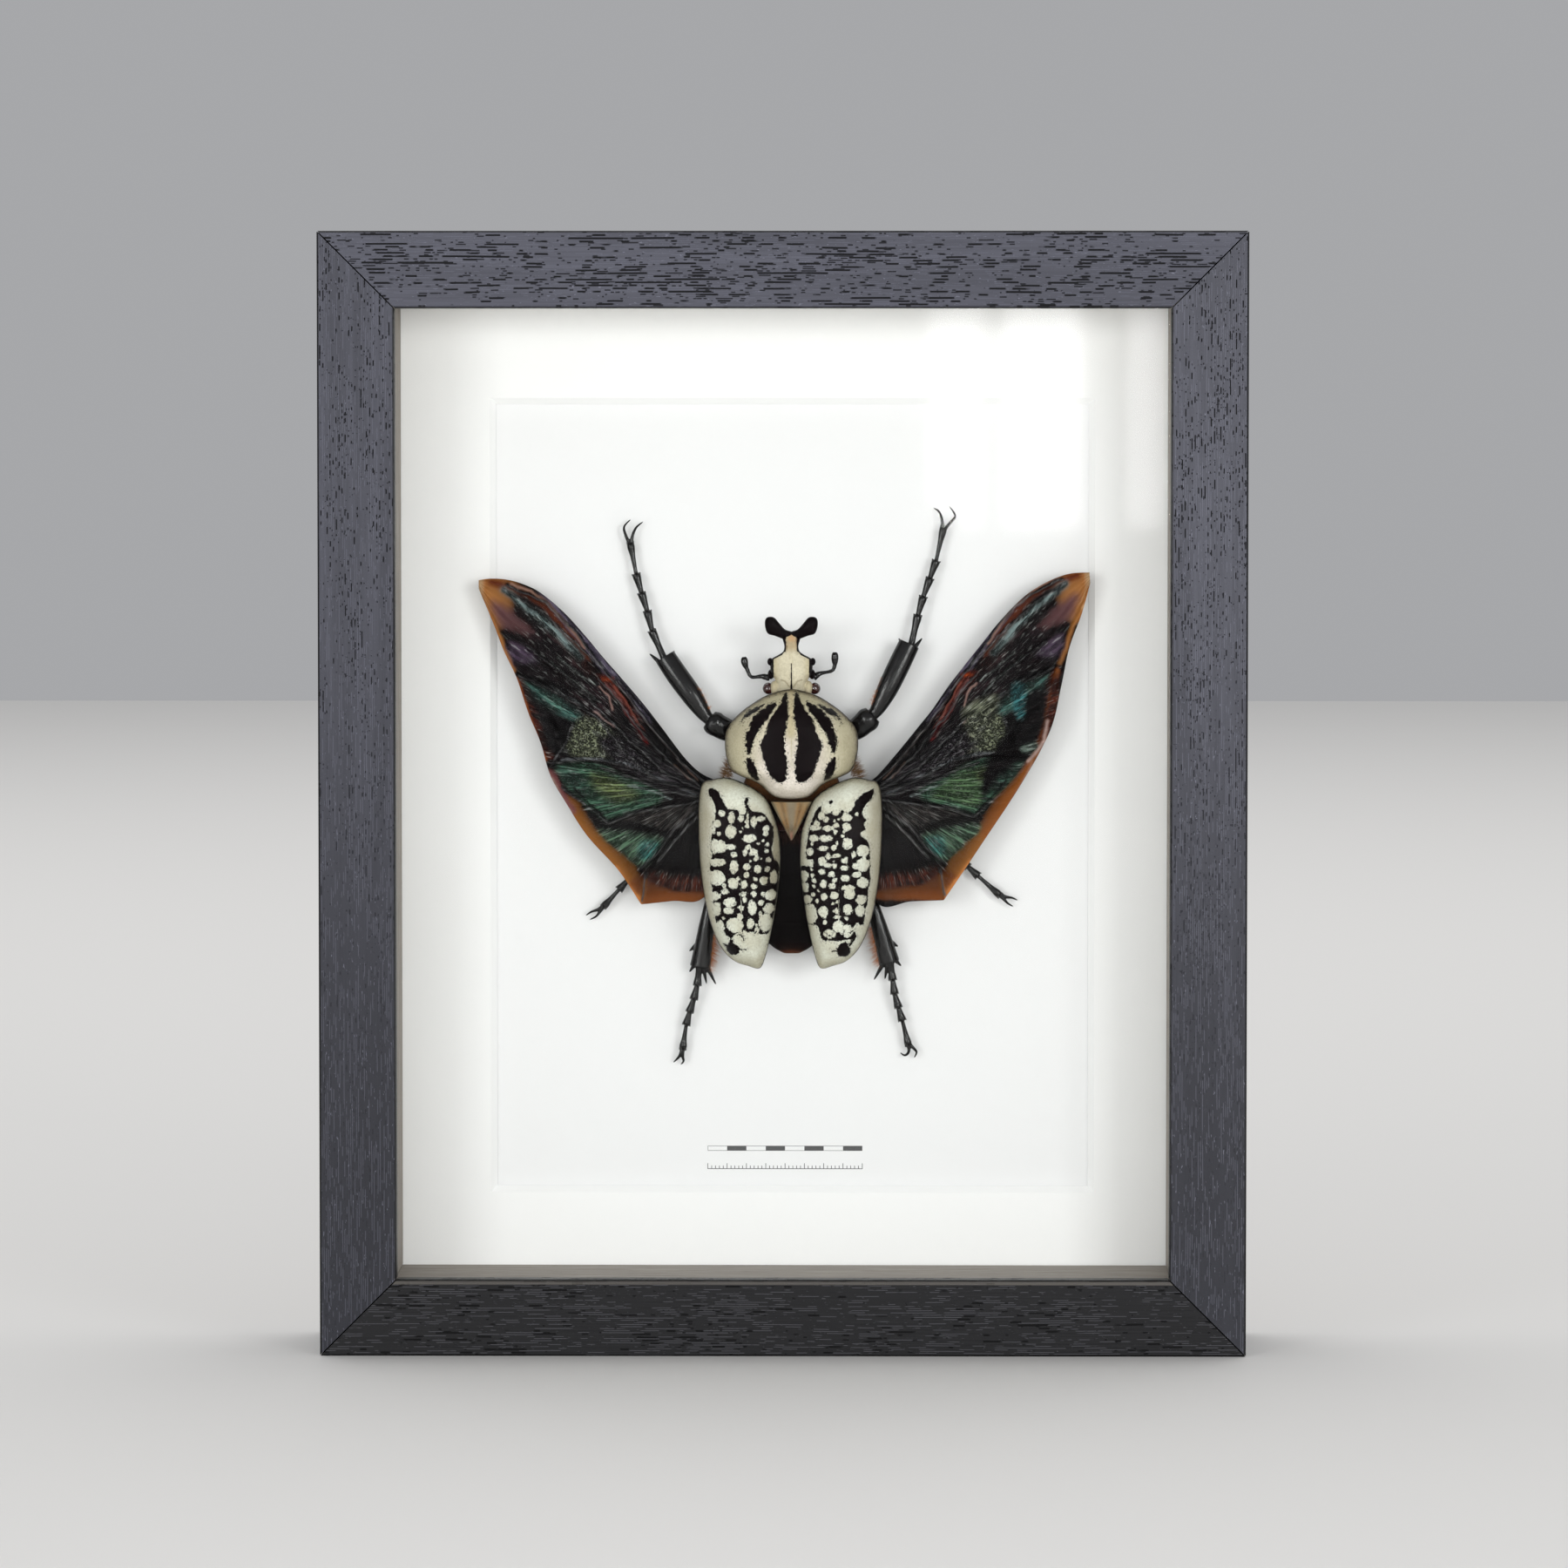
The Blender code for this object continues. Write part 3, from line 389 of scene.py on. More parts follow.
def scale_bar(card, place):
    """A bar of alternating blocks, 40 mm long, with a row of fine ticks below it."""
    x = card.part(place, "X") - SCALE_CENTRE
    z = card.part(place, "Z")
    half_length, block, half_height, line, half_tick = 20.0, 5.0, 0.65, 0.11, 0.09

    def band(value, low, high):
        return value.above(low) * value.below(high)

    along = band(x, -half_length, half_length)
    filled = (x / block).math("FLOOR").math("MODULO", 2.0).size().above(0.5)
    rise = (z - SCALE_HEIGHT).size()
    outline = rise.above(half_height - line) * rise.below(half_height)
    end = x.size().above(half_length - line)
    bar = along * rise.below(half_height) * filled.at_least(outline).at_least(end)
    step = (x + half_length + 0.5).math("MODULO", 1.0)
    tick = (step - 0.5).size().below(half_tick)
    fifth = ((x + half_length + 2.5).math("MODULO", 5.0) - 2.5).size().below(half_tick)
    level = z - RULE_HEIGHT
    short = tick * band(level, 0.0, 0.8)
    long = fifth * band(level, 0.0, 1.4)
    base = band(level, -0.1, 0.08)
    reach = band(x, -half_length - half_tick, half_length + half_tick)
    return bar.at_least(reach * short.at_least(long).at_least(base)).at_most(0.9)


def fibreboard():
    board = Finish("fibreboard")
    place = board.place()
    fibres = board.noise(place, 0.9, 5.0, 0.65, 0.8)
    specks = board.noise(place, 2.6, 2.0)
    colour = board.mix(fibres.rise(0.35, 0.68), tone(96, 68, 44), tone(142, 106, 72))
    colour = board.mix(specks.rise(0.62, 0.7) * 0.6, colour, tone(60, 42, 28))
    return board.surface(colour, 0.78, board.bump(fibres, 0.1))


def plated_steel():
    steel = Finish("plated steel")
    place = steel.place()
    brushed = steel.noise(steel.stretch(place, (0.4, 6.0, 6.0)), 1.0, 3.0)
    stain = steel.noise(place, 0.35, 3.0)
    colour = steel.mix(stain.rise(0.4, 0.75), tone(196, 194, 186), tone(150, 144, 130))
    return steel.surface(colour, brushed * 0.3 + 0.22, steel.bump(brushed, 0.01), metallic=1.0)


GLASS_MIRROR_HEAD_ON = 0.0019


def picture_glass():
    """Low-glare glass: clear, with a faint mirror on top that grows at a slant by Schlick's formula."""
    glass = Finish("picture glass")
    clear = glass.node("ShaderNodeBsdfTransparent", {}, {"Color": (0.985, 0.99, 0.985, 1.0)})
    mirror = glass.node("ShaderNodeBsdfGlossy", {}, {"Color": (1.0, 1.0, 1.0, 1.0), "Roughness": 0.03})
    slant = glass.node("ShaderNodeLayerWeight", {}, {"Blend": 0.5}, "Facing")
    share = slant.power(5.0) * (1.0 - GLASS_MIRROR_HEAD_ON) + GLASS_MIRROR_HEAD_ON
    glass.node_out(glass.node("ShaderNodeMixShader", {}, {0: share, 1: clear, 2: mirror}))
    return glass.material


def dress_frame():
    """Every solid of the frame keeps its shape and gets its finish."""
    across, upright = 0, 2
    card = white_card("mat card", tone(251, 251, 251))
    steel = plated_steel()
    spacer = spacer_wood()
    finishes = {
        # The rails share one stain. Their tones differ as painted light: the top rail is lighter, as if lit
        # from above, the bottom rail darker, in painted shade, and the left rail a little darker than the
        # right.
        "rail_top": stained_wood("top rail wood", across, tone(79, 80, 90), 6.5, 0.56, 0.3),
        "rail_bottom": stained_wood("bottom rail wood", across, tone(47, 47, 50), 7.0, 0.63, 1.6, 0.6),
        "rail_left": stained_wood("left rail wood", upright, tone(72, 73, 82), 2.4, 0.62, 0.5),
        "rail_right": stained_wood("right rail wood", upright, tone(79, 80, 89), 2.4, 0.61, 0.5),
        "glass_pane": picture_glass(),
        "mat_board": card,
        "mounting_board": white_card("mounting card", tone(242, 242, 243), True),
        "back_panel": fibreboard(),
        "hanger_plate": steel,
    }
    for side in ("top", "bottom", "left", "right"):
        finishes[f"spacer_{side}"] = spacer
    for number in range(1, 9):
        finishes[f"panel_tab_{number}"] = steel
    for name, material in finishes.items():
        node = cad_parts[name]
        node.data.materials.clear()
        node.data.materials.append(material)


# Curves, distances and noise on arrays of points


def between(corners, t):
    """A Catmull-Rom curve's point between the second and third of four corners."""
    before, start, end, after = corners
    return 0.5 * (
        2 * start
        + (end - before) * t
        + (2 * before - 5 * start + 4 * end - after) * t**2
        + (3 * start - before - 3 * end + after) * t**3
    )


def smooth_closed(points, count):
    """Evenly spaced points on the smooth closed curve through given ones."""
    points = np.array(points, float)
    t = np.linspace(0, 1, 24, endpoint=False)[:, None]
    spans = []
    for index in range(len(points)):
        corners = [points[(index + offset) % len(points)] for offset in (-1, 0, 1, 2)]
        spans.append(between(corners, t))
    curve = np.vstack(spans + [spans[0][:1]])
    return even_spacing(curve, count + 1)[:-1]


def smooth_open(points, count):
    """Points on the smooth open curve through given ones, evenly spread between them."""
    points = np.array(points, float)
    padded = np.vstack([points[:1], points, points[-1:]])
    place = np.linspace(0, len(points) - 1, count)
    span = np.minimum(place.astype(int), len(points) - 2)
    corners = [padded[span + offset] for offset in range(4)]
    return between(corners, (place - span)[:, None])


def even_spacing(curve, count):
    """The same curve with points at equal distances."""
    steps = np.linalg.norm(np.diff(curve, axis=0), axis=1)
    reach = np.concatenate([[0.0], np.cumsum(steps)])
    places = np.linspace(0, reach[-1], count)
    return np.stack([np.interp(places, reach, curve[:, axis]) for axis in range(curve.shape[1])], axis=1)


def step_up(low, high, value):
    """0 below low, 1 above high, smooth between."""
    t = np.clip((value - low) / (high - low), 0.0, 1.0)
    return t * t * (3 - 2 * t)


def towards_spine(points, spine, share):
    """Rim points drawn in towards the nearest points of a straight spine: share 1 is the rim."""
    start, end = np.array(spine, float)
    along = end - start
    t = np.clip((points - start) @ along / (along @ along), 0.0, 1.0)
    nearest = start + t[:, None] * along
    return nearest + share * (points - nearest)


def line_distance(u, v, line):
    """Distance from each point to a line of straight stretches."""
    best = np.full(u.shape, 1e9)
    for start, end in zip(line, line[1:]):
        du, dv = end[0] - start[0], end[1] - start[1]
        t = np.clip(((u - start[0]) * du + (v - start[1]) * dv) / max(du * du + dv * dv, 1e-9), 0, 1)
        best = np.minimum(best, np.hypot(u - start[0] - t * du, v - start[1] - t * dv))
    return best


def depth_inside(u, v, outline, rounded=True):
    """Distance to a closed outline, positive inside it."""
    if rounded:
        outline = smooth_closed(outline, len(outline) * 5)
    closed = [*outline, outline[0]]
    inside = np.zeros(u.shape, bool)
    for start, end in zip(closed, closed[1:]):
        crosses = (start[1] > v) != (end[1] > v)
        run = (end[0] - start[0]) * (v - start[1]) / (end[1] - start[1] + 1e-12) + start[0]
        inside ^= crosses & (u < run)
    distance = line_distance(u, v, closed)
    return np.where(inside, distance, -distance)


def spot_depth(u, v, spots):
    """Depth inside the nearest of many oval spots (u, v, half width, half height)."""
    best = np.full(u.shape, -1e9)
    for centre_u, centre_v, wide, high in spots:
        reach = np.hypot((u - centre_u) / wide, (v - centre_v) / high)
        best = np.maximum(best, (1 - reach) * min(wide, high))
    return best


LATTICE = np.random.RandomState(7).rand(256, 256)


def ripple(a, b, octaves=3):
    """Smooth noise from -1 to 1 on two coordinates, with finer layers added."""
    total = np.zeros(np.broadcast(a, b).shape)
    weight, share = 1.0, 0.0
    for octave in range(octaves):
        x = a * 2.0**octave + 17.3 * octave
        y = b * 2.0**octave + 9.1 * octave
        left, low = np.floor(x), np.floor(y)
        fx, fy = x - left, y - low
        fx, fy = fx * fx * (3 - 2 * fx), fy * fy * (3 - 2 * fy)
        i, j = left.astype(int) % 256, low.astype(int) % 256
        k, m = (i + 1) % 256, (j + 1) % 256
        lower = LATTICE[i, j] * (1 - fx) + LATTICE[k, j] * fx
        upper = LATTICE[i, m] * (1 - fx) + LATTICE[k, m] * fx
        total += weight * (lower * (1 - fy) + upper * fy)
        share += weight
        weight *= 0.5
    return total / share * 2 - 1


# Meshes


def grid_faces(rows, columns, closed=True):
    """Four-sided faces between neighbouring rows of points."""
    row = np.arange(rows - 1)[:, None] * columns
    column = np.arange(columns if closed else columns - 1)[None, :]
    here = row + column
    beside = row + (column + 1) % columns
    return np.stack([here, beside, beside + columns, here + columns], axis=2).reshape(-1, 4).tolist()


def loft(rings):
    """Points and faces of a closed body through rings of equal count, capped at both ends."""
    count = len(rings[0])
    faces = grid_faces(len(rings), count)
    last = (len(rings) - 1) * count
    faces.append(list(range(count))[::-1])
    faces.append(list(range(last, last + count)))
    return np.vstack(rings), faces


def to_world(points):
    """Body points (u, v, h) in millimetres as places in the frame, in metres."""
    points = np.asarray(points, float)
    return np.stack([BODY_X + points[:, 0], BOARD_FRONT - points[:, 2], BODY_Z + points[:, 1]], axis=1) * MM


def mesh_points(mesh):
    """A mesh's points as rows of places, in metres."""
    places = np.zeros(len(mesh.vertices) * 3)
    mesh.vertices.foreach_get("co", places)
    return places.reshape(-1, 3)


def body_place(mesh):
    """The body coordinates u, v, h of a mesh's points."""
    places = mesh_points(mesh) / MM
    return places[:, 0] - BODY_X, places[:, 2] - BODY_Z, BOARD_FRONT - places[:, 1]


def make_mesh(name, parts):
    """One mesh out of several (points, faces), its faces turned outwards."""
    points, faces = [], []
    total = 0
    for part_points, part_faces in parts:
        points.append(to_world(part_points))
        faces += [[corner + total for corner in face] for face in part_faces]
        total += len(part_points)
    mesh = bpy.data.meshes.new(name)
    mesh.from_pydata(np.vstack(points).tolist(), [], faces)
    shape = bmesh.new()
    shape.from_mesh(mesh)
    bmesh.ops.recalc_face_normals(shape, faces=shape.faces)
    flat = [face for face in shape.faces if len(face.verts) > 4]
    bmesh.ops.triangulate(shape, faces=flat)
    shape.to_mesh(mesh)
    shape.free()
    mesh.shade_smooth()
    return mesh


def blend_parts(mesh, voxel):
    """Overlapping bodies grown together into one skin."""
    carrier = bpy.data.objects.new("carrier", mesh)
    bpy.context.scene.collection.objects.link(carrier)
    remesh = carrier.modifiers.new("grow", "REMESH")
    remesh.mode = "VOXEL"
    remesh.voxel_size = voxel * MM
    remesh.use_smooth_shade = True
    relax = carrier.modifiers.new("relax", "SMOOTH")
    relax.factor = 0.5
    relax.iterations = 2
    graph = bpy.context.evaluated_depsgraph_get()
    grown = bpy.data.meshes.new_from_object(carrier.evaluated_get(graph))
    bpy.data.objects.remove(carrier, do_unlink=True)
    grown.shade_smooth()
    return grown


def number_at(mesh, name, values):
    mesh.attributes.new(name, "FLOAT", "POINT").data.foreach_set("value", np.asarray(values, np.float32))


def colour_at(mesh, name, colours):
    rgba = np.ones((len(colours), 4), np.float32)
    rgba[:, :3] = np.clip(colours, 0.0, 1.0)
    mesh.attributes.new(name, "FLOAT_COLOR", "POINT").data.foreach_set("color", rgba.ravel())


def vector_at(mesh, name, vectors):
    mesh.attributes.new(name, "FLOAT_VECTOR", "POINT").data.foreach_set(
        "vector", np.asarray(vectors, np.float32).ravel()
    )


def add_piece(name, mesh, material, slot, *nodes):
    """A finished piece that stands for CAD nodes and rides with the frame."""
    mesh.materials.clear()
    mesh.materials.append(material)
    mesh.name = name
    piece = bpy.data.objects.new(name, mesh)
    bpy.context.scene.collection.objects.link(piece)
    if nodes:
        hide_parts(*nodes)
    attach(piece, "root")
    return piece


def add_marked(name, mesh, mark, canvas, material, slot, node):
    """A pale piece with its black markings and its colours."""
    number_at(mesh, "mark", mark)
    colour_at(mesh, "tint", canvas.colours)
    add_piece(name, mesh, material, slot, node)


class Canvas:
    """The colours of a piece's points, laid on one layer after another."""

    def __init__(self, u, v, ground):
        self.u, self.v = u, v
        self.colours = np.tile(np.array(ground, float), (len(u), 1))

    def lay(self, colour, cover):
        cover = np.clip(cover, 0, 1)[:, None]
        self.colours = self.colours * (1 - cover) + np.array(colour) * cover

    def area(self, colour, softness, outline, strength=1.0):
        depth = depth_inside(self.u, self.v, outline)
        self.lay(colour, strength * step_up(-softness, softness, depth))

    def stroke(self, colour, width, line, strength=1.0):
        distance = line_distance(self.u, self.v, line)
        self.lay(colour, strength * np.exp(-((distance / width) ** 2)))


# Pale shell: the neck shield, the wing cases and the head

BLACK_SHELL = tone(10, 6, 7)
# Depth in the black of a point that is far from it, and in the pale part of a point with no black near
FAR_OUTSIDE = -9.0
ALL_PALE = 5.0


def pale_shell(name, roughness=0.42, ragged=0.3):
    """Cream shell with black markings: "mark" is the distance into the pale part, "tint" its colour."""
    shell = Finish(name)
    place = shell.place()
    edge = shell.noise(place, 1.1, 4.0, 0.66) * 2.0 - 1.0
    chips = shell.noise(place, 2.4, 2.0)
    inside = shell.attribute("mark")
    mark = inside + edge * ragged + (chips - 0.5) * (ragged * 1.6)
    stray = chips.rise(0.58, 0.62) * inside.rise(1.3, 0.1)
    pale = mark.rise(-0.05, 0.07) * (1.0 - stray * min(1.0, ragged * 1.2))
    cloud = shell.noise(place, 0.16, 3.0)
    fine = shell.noise(place, 1.7, 3.0)
    specks = shell.noise(place, 1.1, 3.0).rise(0.7, 0.76)
    tint = shell.attribute("tint", "Color")
    shade = shell.mix(cloud.rise(0.35, 0.7) * 0.4, tint, tone(168, 158, 130))
    shade = shell.mix(fine.rise(0.35, 0.7) * 0.25, shade, tone(150, 140, 114))
    shade = shell.mix(specks * 0.3, shade, tone(120, 108, 84))
    dark = shell.mix(cloud, BLACK_SHELL, tone(19, 11, 13))
    colour = shell.mix(pale, dark, shade)
    height = fine * 0.5 + cloud * 0.7 + pale * 0.25
    normal = shell.bump(height, 0.12)
    gloss = pale * 0.06 + fine * 0.12 + (roughness - 0.1)
    return shell.surface(colour, gloss, normal, specular_ior_level=0.06)


PRONOTUM_HALF = [
    (0.0, 24.5), (6.0, 23.0), (10.0, 20.7), (13.5, 18.0), (16.4, 14.5), (17.1, 10.5),
    (16.6, 6.5), (15.4, 3.6), (13.0, 2.1), (10.0, 1.0), (7.7, -0.3), (4.5, -3.0),
]
PRONOTUM_TAIL = (0.0, -3.7)
PRONOTUM_SPINE = ((0.0, 4.0), (0.0, 13.0))
PRONOTUM_UNDERSIDE = 12.8
PRONOTUM_TOP = 26.0
PRONOTUM_STRIPES = [
    [(0.96, 23.2), (0.72, 18.3), (1.2, 15.7), (1.8, 12.0), (1.1, 6.35), (1.5, 1.4), (4.2, 1.6), (5.9, 4.0),
     (7.7, 9.75), (7.8, 11.3), (6.4, 13.7), (5.7, 16.7), (2.8, 20.8), (1.98, 23.4)],
    [(4.03, 21.4), (4.2, 20.1), (5.6, 18.0), (7.2, 15.7), (9.1, 13.0), (10.0, 10.1), (10.7, 8.2), (11.4, 9.1),
     (11.5, 13.2), (10.7, 14.5), (10.3, 16.4), (8.6, 18.6), (6.4, 20.3)],
    [(11.2, 7.4), (9.6, 6.2), (8.8, 4.0), (8.35, 1.4), (10.2, 2.3), (11.3, 5.0)],
    [(6.75, 20.8), (10.0, 19.6), (11.7, 18.4), (12.5, 16.9), (12.9, 15.7), (12.3, 16.9), (11.3, 17.6),
     (9.3, 18.6), (7.3, 20.1)],
]


def dome_shares(count):
    """Ring places from the rim inwards, closest together near the steep rim."""
    t = np.linspace(0.0, 1.0, count)
    return 1.0 - 0.985 * t**1.35


def make_pronotum():
    """The neck shield: strongly domed, with black stripes that fan out from its front."""
    mirrored = [(-u, v) for u, v in reversed(PRONOTUM_HALF[1:])]
    rim = smooth_closed(PRONOTUM_HALF + [PRONOTUM_TAIL] + mirrored, 400)
    rings = []
    for share, lift in ((0.3, 0.0), (0.93, 0.0), (0.985, 0.25)):
        points = towards_spine(rim, PRONOTUM_SPINE, share)
        rings.append(np.column_stack([points, np.full(len(points), PRONOTUM_UNDERSIDE + lift)]))
    for share in dome_shares(84):
        points = towards_spine(rim, PRONOTUM_SPINE, share)
        edge = 13.4 + 3.2 * np.exp(-((points[:, 0] / 8.0) ** 2))
        dome = edge + (PRONOTUM_TOP - edge) * (1 - share**2.9) ** 0.55
        dome += 0.12 * ripple(points[:, 0] / 3.5, points[:, 1] / 3.5) * (1 - share**6)
        rings.append(np.column_stack([points, dome]))
    mesh = make_mesh("pronotum_shell", [loft(rings)])
    u, v, h = body_place(mesh)
    out = np.abs(u)
    warp = 0.16 * ripple(u * 1.3, v * 1.3)
    black = np.full(u.shape, FAR_OUTSIDE)
    for stripe in PRONOTUM_STRIPES:
        black = np.maximum(black, depth_inside(out + warp, v + warp, stripe))
    rim_depth = depth_inside(u, v, rim, False)
    mark = np.minimum(-black, rim_depth - 0.16)
    canvas = Canvas(u, v, tone(214, 207, 184))
    canvas.area(tone(232, 223, 214), 2.5, [(-9, 6), (-6, -4), (6, -4), (9, 6), (6, 12), (-6, 12)])
    canvas.lay(tone(196, 188, 158), 0.75 * step_up(9.5, 14.0, out))
    canvas.stroke(tone(196, 182, 146), 1.3, [(0, 24), (0, 13.5)], 0.9)
    canvas.lay(tone(180, 172, 138), 0.7 * step_up(15.5, 22.0, v) * step_up(0.8, 2.2, out))
    canvas.lay(tone(104, 86, 58), 0.75 * np.exp(-((rim_depth / 0.7) ** 2)))
    canvas.lay(tone(70, 54, 38), step_up(14.0, 13.0, h))
    finish = pale_shell("neck shield", 0.44, 0.95)
    add_marked("pronotum_shell", mesh, mark, canvas, finish, "pale_shell", "pronotum")


# A wing case's rim: distance out from the middle line, and v.
ELYTRON_RIM = [
    (22.6, 0.2), (20.0, 1.3), (16.3, 1.8), (12.4, 0.6), (9.0, -1.2), (6.7, -3.0), (5.3, -5.2),
    (4.2, -8.0), (3.2, -11.0), (2.6, -15.0), (2.5, -20.0), (3.0, -26.0), (3.8, -32.0),
    (5.0, -38.5), (6.3, -44.0), (7.8, -47.2), (11.0, -46.6), (14.2, -45.5), (17.0, -43.0),
    (19.2, -39.2), (21.0, -33.8), (22.2, -28.0), (23.0, -22.0), (23.5, -14.0), (23.5, -5.0),
]
ELYTRON_SPINE = ((12.8, -6.0), (12.4, -36.0))
ELYTRON_WALL = 0.9
ELYTRON_HOLLOW = 0.955
ELYTRON_RIM_HEIGHT = 16.3
ELYTRON_CROWN = 24.6
ELYTRON_LEAN = -0.3

# Markings of each wing case: the black part's outline, its pale spots and its black strokes
BLACK_FIELD = {
    "left": [
        (20.9, -0.7), (19.6, -0.8), (18.0, -1.9), (16.8, -4.4), (15.8, -5.7), (13.4, -6.0), (12.8, -7.1),
        (11.3, -6.7), (11.6, -4.0), (10.8, -2.7), (10.5, -5.3), (9.3, -6.4), (7.0, -7.0), (5.3, -9.0),
        (4.2, -11.4), (4.4, -14.1), (4.6, -16.8), (3.9, -18.9), (2.9, -20.6), (3.1, -25.7), (3.7, -30.8),
        (4.5, -34.5), (5.5, -37.8), (7.1, -38.0), (9.0, -37.4), (11.0, -37.3), (12.4, -36.8), (14.1, -38.0),
        (15.2, -39.0), (17.1, -37.3), (19.0, -34.7), (19.2, -32.5), (19.6, -29.8), (19.9, -26.7),
        (20.1, -24.0), (20.6, -20.4), (20.0, -17.7), (20.3, -15.3), (19.9, -12.1), (19.7, -9.7),
        (19.2, -8.0), (19.0, -5.9), (19.6, -3.9), (20.6, -2.4),
    ],
    "right": [
        (21.4, -0.8), (19.9, -1.3), (18.2, -2.2), (16.7, -3.9), (16.2, -5.3), (14.8, -6.6), (13.6, -6.1),
        (12.6, -6.4), (12.1, -7.5), (10.9, -7.3), (10.7, -6.6), (9.4, -7.1), (8.0, -6.3), (8.2, -4.9),
        (6.7, -6.3), (5.6, -8.7), (4.8, -11.4), (4.2, -15.5), (4.3, -18.5), (5.8, -18.9), (5.8, -20.6),
        (2.6, -20.9), (2.5, -24.0), (2.8, -27.4), (3.3, -30.8), (3.9, -34.2), (4.8, -35.7), (6.7, -35.7),
        (7.5, -37.3), (8.3, -39.5), (10.1, -39.6), (12.4, -39.7), (14.8, -39.3), (16.9, -39.0),
        (16.7, -35.2), (18.6, -35.7), (19.1, -32.8), (19.8, -29.4), (19.9, -27.0), (20.5, -24.3),
        (20.4, -20.9), (20.4, -16.2), (19.8, -14.1), (17.9, -12.1), (19.3, -11.0), (18.8, -9.7),
        (19.4, -8.7), (18.5, -7.0), (19.0, -5.3), (20.1, -4.0), (21.4, -2.4),
    ],
}
